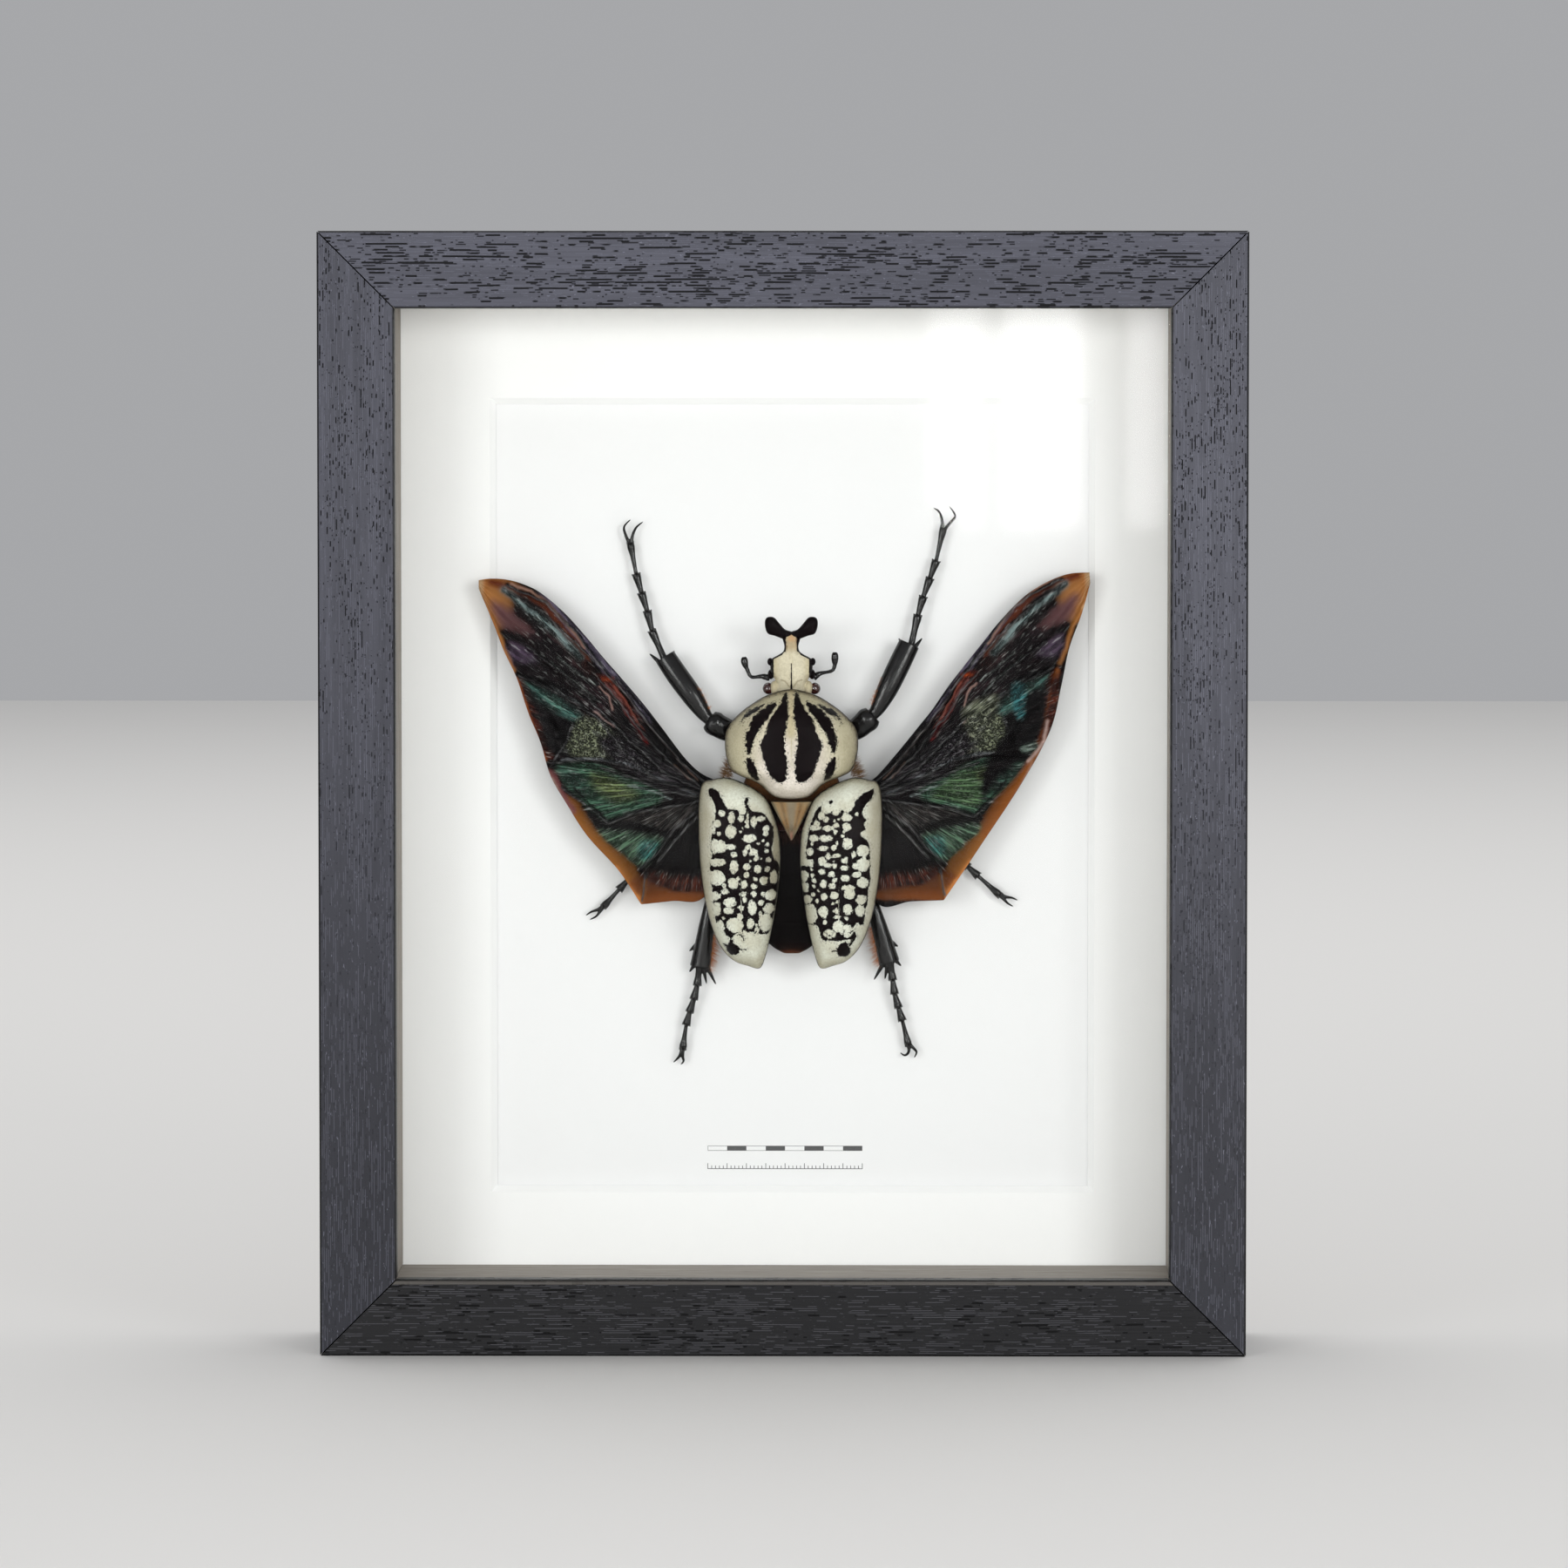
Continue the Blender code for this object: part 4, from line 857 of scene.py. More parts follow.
SPOTS = {
    "left": [
        (17.4, -7.0, 0.8, 0.9), (14.9, -8.0, 0.9, 1.4), (12.5, -8.3, 0.8, 0.9), (10.8, -7.5, 0.3, 0.8),
        (11.0, -9.1, 0.5, 0.5), (11.0, -10.2, 0.6, 0.55), (12.1, -10.6, 0.25, 0.25), (9.2, -9.1, 0.8, 1.4),
        (7.6, -8.4, 1.2, 0.7), (12.7, -11.6, 0.35, 0.35), (15.1, -11.6, 1.4, 1.7), (18.6, -9.5, 1.0, 0.95),
        (18.2, -12.1, 0.55, 0.6), (6.2, -10.9, 0.9, 0.75), (6.2, -12.2, 0.6, 0.7), (10.3, -13.3, 1.7, 1.1),
        (7.0, -14.0, 0.4, 0.4), (8.1, -14.8, 0.35, 0.3), (5.8, -14.8, 0.55, 0.55), (15.2, -15.5, 1.35, 0.8),
        (10.6, -15.5, 0.8, 0.7), (11.4, -16.8, 0.6, 0.9), (9.3, -16.9, 1.15, 0.9), (14.3, -17.4, 0.8, 0.7),
        (6.0, -16.6, 0.6, 0.6), (8.6, -18.5, 0.7, 0.7), (10.1, -19.1, 0.35, 0.35), (7.4, -18.5, 0.25, 0.25),
        (5.5, -18.9, 0.7, 0.7), (14.3, -20.7, 1.1, 1.65), (11.0, -20.5, 0.95, 0.9), (8.3, -21.1, 0.95, 1.15),
        (5.8, -21.3, 0.7, 0.7), (11.1, -22.7, 0.75, 0.75), (8.8, -23.9, 0.6, 0.6), (6.7, -24.3, 1.0, 1.15),
        (14.5, -24.8, 1.4, 1.4), (13.3, -23.6, 0.55, 0.6), (11.8, -25.1, 1.0, 0.95), (16.8, -25.4, 0.6, 0.6),
        (9.3, -25.6, 0.75, 0.7), (16.6, -27.0, 0.95, 0.75), (12.0, -27.6, 0.95, 0.6),
        (9.3, -27.6, 0.75, 0.8),
        (6.9, -27.6, 0.5, 0.6), (4.9, -28.0, 1.35, 1.5), (15.3, -29.7, 1.6, 1.3), (11.6, -29.1, 0.6, 0.7),
        (7.5, -29.9, 0.8, 0.75), (15.8, -31.9, 1.35, 0.9), (12.5, -31.1, 0.9, 0.7), (9.7, -31.1, 1.1, 1.8),
        (5.4, -31.5, 1.4, 1.35), (7.6, -32.6, 0.5, 0.5), (17.0, -33.9, 0.4, 0.35), (14.1, -35.6, 2.1, 2.0),
        (12.8, -33.5, 0.8, 1.15), (10.1, -35.2, 0.9, 1.4), (6.3, -35.1, 1.8, 2.4), (8.6, -35.6, 0.35, 0.4),
        (8.4, -36.9, 0.7, 0.75), (17.9, -15.5, 1.7, 1.6), (19.2, -15.4, 1.0, 2.0), (18.7, -19.5, 2.4, 1.0),
        (18.7, -23.5, 2.2, 2.0), (19.1, -28.2, 1.4, 1.1), (18.9, -31.6, 1.3, 1.8), (17.9, -35.9, 1.2, 1.5),
        (19.6, -11.0, 0.6, 1.3), (4.2, -23.4, 1.0, 1.8),
    ],
    "right": [
        (8.0, -7.6, 0.85, 1.0), (9.2, -8.4, 0.85, 0.7), (6.3, -10.7, 1.5, 0.7), (6.8, -9.7, 0.75, 1.0),
        (9.7, -10.7, 1.4, 0.75), (11.6, -11.7, 0.4, 0.7), (11.3, -8.8, 0.35, 0.35), (12.4, -8.3, 0.3, 0.3),
        (11.8, -10.0, 0.7, 0.75), (13.7, -11.6, 0.35, 0.35), (14.5, -8.1, 1.4, 0.9), (14.1, -7.3, 0.7, 0.7),
        (14.5, -10.4, 1.15, 1.1), (17.1, -7.2, 0.5, 0.5), (13.4, -12.7, 0.4, 0.4), (6.0, -13.3, 1.2, 0.9),
        (9.1, -13.3, 1.6, 0.9), (14.7, -14.6, 1.3, 1.5), (12.0, -14.4, 0.4, 0.4), (5.5, -14.9, 0.3, 0.5),
        (8.6, -15.9, 1.3, 0.7), (11.2, -15.6, 0.75, 0.75), (5.2, -16.8, 0.85, 0.95), (9.8, -17.9, 0.7, 0.8),
        (11.8, -17.7, 0.9, 0.55), (8.2, -19.2, 0.95, 1.2), (9.6, -20.2, 1.0, 0.7), (14.0, -18.9, 0.9, 0.8),
        (11.1, -19.1, 0.3, 0.3), (11.4, -20.3, 0.55, 0.7), (13.9, -20.9, 1.0, 0.7), (16.3, -17.5, 0.6, 0.95),
        (8.1, -21.9, 0.8, 0.7), (10.6, -22.5, 0.9, 0.75), (5.5, -21.4, 0.4, 0.4), (3.6, -23.2, 1.15, 1.4),
        (5.8, -22.9, 0.5, 0.6), (14.1, -23.5, 1.15, 0.9), (17.0, -22.5, 1.15, 0.8), (11.3, -23.9, 0.6, 0.55),
        (6.2, -24.3, 0.55, 0.6), (8.4, -25.0, 0.9, 1.15), (3.8, -26.1, 1.0, 1.3), (10.8, -25.5, 0.95, 0.8),
        (6.1, -25.7, 0.5, 0.5), (14.8, -25.9, 1.7, 0.75), (15.2, -27.6, 1.4, 1.4), (5.9, -27.8, 0.5, 0.55),
        (7.3, -26.9, 0.3, 0.3), (8.7, -28.3, 0.8, 0.95), (11.4, -27.9, 1.1, 1.0), (4.4, -29.2, 1.2, 1.15),
        (6.9, -29.5, 0.5, 0.5), (10.9, -30.0, 0.35, 0.35), (12.0, -29.7, 0.35, 0.4),
        (14.8, -31.5, 1.15, 1.4),
        (8.5, -32.2, 1.3, 1.6), (11.8, -31.9, 0.95, 0.7), (12.0, -33.6, 0.95, 0.5),
        (14.4, -33.9, 0.55, 0.55),
        (5.1, -33.0, 1.8, 2.6), (8.9, -34.8, 0.6, 0.55), (12.3, -35.9, 1.4, 1.5), (14.5, -37.1, 1.7, 1.6),
        (10.1, -37.9, 1.5, 1.2), (18.6, -16.5, 1.6, 1.6), (18.6, -20.1, 1.75, 1.75),
        (16.9, -20.4, 1.0, 0.85),
        (18.6, -24.7, 1.5, 1.35), (18.2, -29.1, 1.35, 1.3), (17.9, -32.0, 1.3, 1.5), (17.0, -36.5, 0.8, 1.0),
    ],
}
# Black blots (out, v, half width, half height) and strokes (half width, line) over the pale parts
BLOTS = {
    "left": [(14.6, -41.9, 1.7, 1.6), (15.0, -40.4, 0.7, 1.0)],
    "right": [(13.6, -42.2, 1.8, 1.7), (14.0, -40.8, 0.7, 1.1), (10.5, -4.1, 0.45, 0.45)],
}
STROKES = {
    "left": [
        (0.12, [(15.2, -39.3), (14.3, -38.2), (12.5, -38.1), (11.7, -39.4)]),
        (0.14, [(13.1, -41.9), (11.4, -42.0)]), (0.2, [(16.0, -41.2), (17.1, -40.6)]),
        (0.12, [(12.3, -36.6), (12.0, -38.2)]), (0.1, [(7.7, -36.0), (8.9, -37.6)]),
    ],
    "right": [
        (0.14, [(12.1, -42.4), (10.7, -42.3)]), (0.25, [(15.0, -41.0), (16.9, -38.6)]),
        (0.12, [(13.8, -36.8), (13.4, -39.0), (14.3, -40.4)]), (0.14, [(16.0, -39.2), (15.4, -37.6),
            (16.6, -36.6)]),
        (0.12, [(8.4, -37.0), (11.4, -39.3)]),
    ],
}


def elytron_height(out, v, share):
    """The domed top: rim low at the flank and the tip, highest over the shoulder."""
    tail = step_up(-10.0, -48.0, v)
    edge = ELYTRON_RIM_HEIGHT - 1.3 * step_up(4.0, 22.0, out) - 1.4 * tail
    crown = ELYTRON_CROWN - 2.6 * tail
    return edge + (crown - edge) * (1 - share**2.5) ** 0.55


def make_elytra():
    """The two spotted wing cases: domed shells, hollow underneath."""
    rim = smooth_closed(ELYTRON_RIM, 460)
    material = pale_shell("wing case shell", 0.42, 0.55)
    for label, side in (("left", -1), ("right", 1)):
        rings = []
        for share in dome_shares(78)[::-1]:
            points = towards_spine(rim, ELYTRON_SPINE, share)
            h = elytron_height(points[:, 0], points[:, 1], share)
            h = h + 0.1 * ripple(points[:, 0] / 3.0 + 5 * side, points[:, 1] / 3.0) * (1 - share**8)
            rings.append(np.column_stack([side * points[:, 0] + ELYTRON_LEAN, points[:, 1], h]))
        for share in [outer * ELYTRON_HOLLOW for outer in dome_shares(16)]:
            points = towards_spine(rim, ELYTRON_SPINE, share)
            h = elytron_height(points[:, 0], points[:, 1], share / ELYTRON_HOLLOW) - ELYTRON_WALL
            rings.append(np.column_stack([side * points[:, 0] + ELYTRON_LEAN, points[:, 1], h]))
        mesh = make_mesh(f"wing_case_{label}", [loft(rings)])
        u, v = body_place(mesh)[:2]
        out = side * (u - ELYTRON_LEAN)
        warp_u = 0.17 * ripple(u * 0.9, v * 0.9)
        warp_v = 0.17 * ripple(u * 0.9 + 40, v * 0.9 + 40)
        mark = -depth_inside(out + warp_u, v + warp_v, BLACK_FIELD[label])
        mark = np.maximum(mark, spot_depth(out + warp_u, v + warp_v, SPOTS[label]))
        mark = np.minimum(mark, -spot_depth(out + 2 * warp_u, v + 2 * warp_v, BLOTS[label]))
        for width, line in STROKES[label]:
            mark = np.minimum(mark, line_distance(out + warp_u, v + warp_v, line) - width)
        rim_depth = depth_inside(out, v, rim, False)
        mark = np.minimum(mark, rim_depth - 0.14)
        canvas = Canvas(out, v, tone(220, 222, 208))
        canvas.lay(tone(190, 185, 168), 0.8 * step_up(18.6, 21.5, out))
        canvas.lay(tone(182, 178, 156), 0.6 * step_up(-42.0, -46.5, v))
        canvas.lay(tone(176, 172, 146), 0.6 * np.exp(-((rim_depth / 1.2) ** 2)))
        # Painted shade on the left wing case only: darker bands along its inner edge, beside the middle line.
        if label == "left":
            shoulder = [(6.0, -4.5), (4.6, -9), (4.2, -18.9), (2.0, -19), (2.4, -10)]
            canvas.area(tone(148, 142, 122), 0.5, shoulder, 0.9)
            canvas.area(tone(146, 142, 126), 0.7, [(6.4, -17.5), (6.6, -26.3), (2, -26.5), (2, -17.5)], 0.7)
        canvas.lay(tone(74, 52, 36), np.exp(-((rim_depth / 0.3) ** 2)) * step_up(14.0, 21.0, out))
        add_marked(f"wing_case_{label}", mesh, mark, canvas, material, "pale_shell", f"elytron_{label}")


# The rest of the beetle's trunk


def tube(path, radii, flatness, sides):
    """A closed limb through points: each radius is its half width, flatness its height over its width."""
    path = np.asarray(path, float)
    forward = np.vstack([path[1:], path[-1:]]) - np.vstack([path[:1], path[:-1]])
    forward /= np.linalg.norm(forward, axis=1)[:, None]
    aside = np.cross(forward, (0.0, 0.0, 1.0))
    aside /= np.linalg.norm(aside, axis=1)[:, None]
    up = np.cross(aside, forward)
    turns = math.tau * (np.arange(sides) + 0.5) / sides
    rings = []
    for point, across, above, radius in zip(path, aside, up, radii):
        ring = np.outer(np.cos(turns), across) + np.outer(np.sin(turns) * flatness, above)
        rings.append(point + ring * radius)
    return loft(rings)


def spread(values, count):
    """Numbers given at even places, read at more places between them."""
    return np.interp(np.linspace(0, 1, count), np.linspace(0, 1, len(values)), values)


def ellipse_rings(stations, count, power):
    """Rings across the body: each station is v, half width, middle height and half height."""
    turns = math.tau * np.arange(count) / count
    c, s = np.cos(turns), np.sin(turns)
    across = np.sign(c) * np.abs(c) ** (2 / power)
    up = np.sign(s) * np.abs(s) ** (2 / power)
    rings = []
    for v, wide, middle, high in stations:
        rings.append(np.column_stack([wide * across, np.full(count, v), middle + high * up]))
    return rings


def ball(centre, radii, count=20):
    """A closed oval body."""
    rings = []
    turns = math.tau * np.arange(count) / count
    for level in np.radians(np.linspace(-84, 84, count // 2)):
        flat = math.cos(level)
        u = centre[0] + radii[0] * flat * np.cos(turns)
        v = centre[1] + radii[1] * flat * np.sin(turns)
        rings.append(np.column_stack([u, v, np.full(count, centre[2] + radii[2] * math.sin(level))]))
    return loft(rings)


def pillow(outline, spine, level, half, count=90, steps=14):
    """A rounded pad with that outline. Its middle height falls from the spine's start to its end."""
    rim = smooth_closed(outline, count)
    shares = 1.0 - 0.97 * np.linspace(0, 1, steps) ** 1.3
    start, end = np.array(spine, float)
    along = end - start
    rings = []
    for side, row in ((-1, shares[::-1]), (1, shares)):
        for share in row:
            points = towards_spine(rim, spine, share)
            t = np.clip((points - start) @ along / (along @ along), 0, 1)
            middle = level[0] + (level[1] - level[0]) * t
            rings.append(np.column_stack([points, middle + side * half * (1 - share**2.2) ** 0.5]))
    return loft(rings)


def black_shell(name, pitted=1.0, sheen=0.14, gloss=0.45):
    """Glossy black shell with pits and faint wrinkles."""
    shell = Finish(name)
    place = shell.place()
    pits = shell.cells(place, 2.1).rise(0.08, 0.45)
    grain = shell.noise(place, 2.2, 3.0)
    broad = shell.noise(place, 0.35, 2.0)
    tint = shell.attribute("tint", "Color")
    colour = shell.mix(grain.rise(0.3, 0.75) * 0.5, tint, (0.0015, 0.0012, 0.0012))
    height = pits * pitted + grain * 0.4 + broad * 5.0
    normal = shell.bump(height, 0.018)
    return shell.surface(colour, grain * 0.14 + sheen, normal, specular_ior_level=gloss)


def dark_tint(mesh, colour):
    colour_at(mesh, "tint", np.tile(np.array(colour), (len(mesh.vertices), 1)))


THORAX = [
    (20.5, 5.0), (18.0, 8.5), (13.0, 11.2), (7.0, 11.8), (2.5, 11.6), (-2.0, 13.0), (-7.0, 14.3),
    (-12.0, 14.6),
]
ABDOMEN = [
    (-12.4, 14.6), (-17.0, 15.4), (-22.0, 15.5), (-27.0, 14.8), (-32.0, 13.2), (-36.5, 10.6), (-40.0, 7.6),
    (-42.5, 4.6), (-43.8, 2.2),
]
TRUNK_MIDDLE = 6.3
TRUNK_REACH = 6.0


def make_trunk():
    """Thorax and abdomen, black above and red-brown at the hind rim, with the abdomen's ring seams."""
    material = black_shell("trunk shell", 0.3, 0.36, 0.03)
    profile = smooth_open(THORAX, 60)
    thin = 0.75 + 0.25 * step_up(20.5, 13.0, profile[:, 0])
    stations = [(v, wide, TRUNK_MIDDLE, TRUNK_REACH * t) for (v, wide), t in zip(profile, thin)]
    mesh = make_mesh("thorax_shell", [loft(ellipse_rings(stations, 96, 2.6))])
    u, v, h = body_place(mesh)
    canvas = Canvas(u, v, tone(18, 10, 8))
    canvas.lay(tone(112, 74, 44), step_up(-6.0, 0.0, v) * step_up(12.0, 5.0, v) * step_up(6.0, 9.0, h))
    canvas.lay(tone(66, 30, 26), 0.8 * step_up(-9.0, -12.0, v))
    colour_at(mesh, "tint", canvas.colours)
    add_piece("thorax_shell", mesh, material, "black_shell", "thorax")
    profile = smooth_open(ABDOMEN, 120)
    stations = []
    for v, wide in profile:
        thin = 1.0 - 0.62 * step_up(-30.0, -43.8, v)
        seam = 1.0 - 0.022 * math.exp(-((((-v - 12.4) % 6.0) - 5.4) / 0.35) ** 2)
        middle = TRUNK_MIDDLE + 1.2 * (1 - thin)
        stations.append((v, wide * seam, middle, TRUNK_REACH * thin * seam))
    mesh = make_mesh("abdomen_shell", [loft(ellipse_rings(stations, 96, 2.5))])
    u, v = body_place(mesh)[:2]
    canvas = Canvas(u, v, tone(5, 3, 3))
    canvas.lay(tone(26, 12, 9), 0.8 * step_up(-40.0, -43.0, v + 0.02 * u * u))
    canvas.lay(tone(96, 56, 36), 0.8 * step_up(-42.4, -43.7, v + 0.03 * u * u))
    colour_at(mesh, "tint", canvas.colours)
    add_piece("abdomen_shell", mesh, material, "black_shell", "abdomen")


def make_scutellum():
    """The small shield between the wing cases: tan and brown, with a greyish raised keel."""
    front, tip, half, base = -4.4, -14.2, 5.0, 12.7
    across = np.linspace(1, -1, 41)
    keel = np.minimum(np.abs(across) / 0.3, 1.0)
    slope = np.maximum((np.abs(across) - 0.3) / 0.7, 0.0)
    rings = []
    for t in np.linspace(0, 1, 60):
        v = front + (tip - front) * t
        width = half * (1 - t) + 0.25
        crest = 19.0 - 2.2 * t
        drop = 1.6 * (1 - t)
        top = crest - 0.3 * keel**1.6 - drop * slope**1.3
        top += 0.1 * ripple(across * width * 0.9, np.full(across.shape, v * 0.5))
        upper = np.column_stack([across * width, np.full(across.shape, v), top])
        lower = np.array([(-width, v, base + 1.2 * t), (width, v, base + 1.2 * t)])
        rings.append(np.vstack([lower, upper]))
    mesh = make_mesh("scutellum_shell", [loft(rings)])
    u, v = body_place(mesh)[:2]
    t = np.clip((front - v) / (front - tip), 0, 1)
    side = np.abs(u) / (half * (1 - t) + 0.25)
    canvas = Canvas(u, v, tone(146, 108, 66))
    canvas.lay(tone(126, 116, 100), 0.9 * step_up(0.42, 0.12, side) * step_up(1.0, 0.7, t))
    canvas.lay(tone(92, 60, 34), 0.8 * np.exp(-(((side - 0.5) / 0.1) ** 2)))
    canvas.lay(tone(44, 28, 18), step_up(0.78, 0.97, side))
    canvas.lay(tone(40, 22, 17), 0.9 * step_up(0.5, 0.85, t))
    canvas.lay(tone(150, 92, 82), 0.8 * step_up(0.72, 0.86, t) * step_up(0.6, 0.2, side))
    mark = np.full(u.shape, ALL_PALE)
    finish = pale_shell("scutellum shell", 0.5)
    add_marked("scutellum_shell", mesh, mark, canvas, finish, "brown_shell", "scutellum")


# The head: v, half width, middle height, half height
HEAD = [
    (22.9, 3.5, 12.8, 2.7), (24.9, 3.9, 13.6, 3.4), (26.2, 3.9, 14.0, 3.8), (27.5, 4.6, 14.2, 3.9),
    (28.8, 5.3, 14.5, 3.8),
    (31.0, 5.4, 15.2, 3.2), (32.3, 5.0, 15.9, 2.6), (33.3, 3.3, 16.6, 2.1), (34.2, 2.1, 17.2, 1.8),
    (35.6, 1.8, 17.8, 1.6), (37.2, 2.2, 18.3, 1.5), (38.8, 2.4, 18.7, 1.2),
]
FORK_ARM = [
    (6.8, 41.3), (6.3, 42.9), (4.5, 43.0), (3.0, 41.4), (1.6, 39.9), (-0.3, 39.1), (-0.6, 37.4), (1.9, 37.4),
    (4.2, 38.2), (6.1, 38.9),
]
FORK_ARM_SPINE = ((4.8, 40.9), (0.9, 38.7))
FORK_BLACK = [(-0.4, 38.9), (0.9, 38.3), (1.7, 36.9), (2.4, 35.9), (9, 36), (9, 45), (-1, 45)]
HEAD_CELL = 0.13
EYE = (5.95, 24.6, 14.0)
EYE_RADII = (1.5, 1.5, 1.7)


def make_head():
    """The head plate with its forked horn, cheeks and temples, grown together."""
    parts = [loft(ellipse_rings(smooth_open(HEAD, 70), 72, 2.4))]
    for side in (-1, 1):
        arm = [(side * u, v) for u, v in FORK_ARM]
        spine = [(side * u, v) for u, v in FORK_ARM_SPINE]
        parts.append(pillow(arm, spine, (19.4, 18.4), 1.45))
        parts.append(ball((side * 5.45, 31.5, 15.4), (0.75, 1.0, 0.9)))
        parts.append(ball((side * 5.3, 28.2, 13.6), (0.8, 1.3, 1.2)))
        parts.append(ball((side * 4.3, 24.8, 14.4), (1.2, 1.8, 2.1)))
    mesh = blend_parts(make_mesh("head_shell", parts), HEAD_CELL)
    u, v, h = body_place(mesh)
    out = np.abs(u)
    groove = 0.3 * np.exp(-((u / 0.28) ** 2)) * step_up(35.5, 33.0, v)
    ridge = 0.35 * np.exp(-(((out - 4.5) / 0.5) ** 2)) * step_up(26.5, 28.5, v) * step_up(33.0, 31.0, v)
    ridge += 0.25 * np.exp(-(((out - 1.2) / 0.35) ** 2)) * step_up(33.0, 35.0, v) * step_up(38.5, 37.5, v)
    lift = (ridge - groove) * step_up(14.5, 16.5, h) + 0.06 * ripple(u * 0.9, v * 0.9)
    places = mesh_points(mesh)
    places[:, 1] -= lift * MM
    mesh.vertices.foreach_set("co", places.ravel())
    mesh.update()
    warp = 0.14 * ripple(u * 1.4, v * 1.4)
    arm = depth_inside(out + warp, v + warp, FORK_BLACK)
    dark = np.where(v > 35.5, arm, FAR_OUTSIDE)
    midline = 0.13 - np.abs(u + 0.1 * warp) + FAR_OUTSIDE * (v > 31.2) + 0.12 * step_up(27.0, 24.5, v)
    edge = out - 4.55 + 0.5 * warp + FAR_OUTSIDE * ((v < 26.6) | (v > 33.5))
    front = 0.34 - line_distance(out, v, [(1.9, 34.6), (2.6, 33.6), (4.9, 32.4), (5.0, 31.6)])
    flank = 0.32 - line_distance(out, v, [(1.75, 34.4), (1.65, 36.6), (2.1, 38.4)])
    below = 13.4 - h + FAR_OUTSIDE * (v < 26.0)
    for black in (midline, edge, front, flank, below):
        dark = np.maximum(dark, black)
    mark = np.where(dark > -ALL_PALE, -dark, ALL_PALE)
    canvas = Canvas(u, v, tone(216, 208, 184))
    canvas.lay(tone(190, 178, 146), 0.7 * step_up(2.6, 4.4, out))
    canvas.lay(tone(176, 150, 112), 0.75 * step_up(33.5, 35.5, v))
    mottle = ripple(u * 1.6, v * 0.9)
    canvas.lay(tone(98, 66, 42), 0.85 * step_up(34.0, 36.0, v) * step_up(0.0, 0.5, mottle))
    canvas.lay(tone(198, 146, 98), 0.6 * step_up(36.2, 37.4, v) * step_up(1.2, 0.4, out))
    # Painted shade: a thin darker line along a crease at each side of the head's rear.
    for side in (1, -1):
        crease_shade = [(side * 0.4, 25.0), (side * 1.6, 26.6), (side * 2.6, 26.9)]
        canvas.stroke(tone(110, 92, 66), 0.22, crease_shade, 0.6)
    finish = pale_shell("head shell", 0.4, 0.12)
    add_marked("head_shell", mesh, mark, canvas, finish, "pale_shell", "head")


def eye_lens():
    """Dark red-black glossy eye."""
    lens = Finish("eye lens")
    normal = lens.bump(lens.cells(lens.place(), 6.0), 0.01)
    return lens.surface(tone(52, 22, 21), 0.12, normal, specular_ior_level=0.9, coat_weight=1.0)


FEELER_HEIGHT = 12.0
FEELERS = {
    "antenna_left": [(-5.6, 27.2), (-7.6, 27.6), (-10.3, 27.5), (-11.4, 29.4), (-12.0, 31.0), (-12.2, 32.6)],
    "antenna_right": [(5.6, 27.2), (7.2, 28.3), (10.2, 29.0), (11.0, 30.2), (11.1, 32.0), (11.1, 33.8)],
}


def make_eyes_and_feelers():
    lens = eye_lens()
    shell = black_shell("feeler shell", 0.3)
    for label, side in (("left", -1), ("right", 1)):
        centre = (side * EYE[0], EYE[1], EYE[2])
        mesh = make_mesh(f"eye_lens_{label}", [ball(centre, EYE_RADII, 48)])
        add_piece(f"eye_lens_{label}", mesh, lens, "black_shell", f"eye_{label}")
    share = np.linspace(0, 1, 90)
    radii = spread((0.7, 0.78, 0.62, 0.42, 0.4, 0.42, 0.46, 0.5, 0.78, 0.92, 0.88, 0.5), 90)
    beads = 1.0 + 0.13 * np.abs(np.sin(share * 30)) * (share < 0.62)
    for name, route in FEELERS.items():
        path = smooth_open([(u, v, FEELER_HEIGHT) for u, v in route], 90)
        mesh = make_mesh(f"{name}_shell", [tube(path, radii * beads, 0.8, 20)])
        dark_tint(mesh, tone(14, 11, 11))
        add_piece(f"{name}_shell", mesh, shell, "black_shell", name)


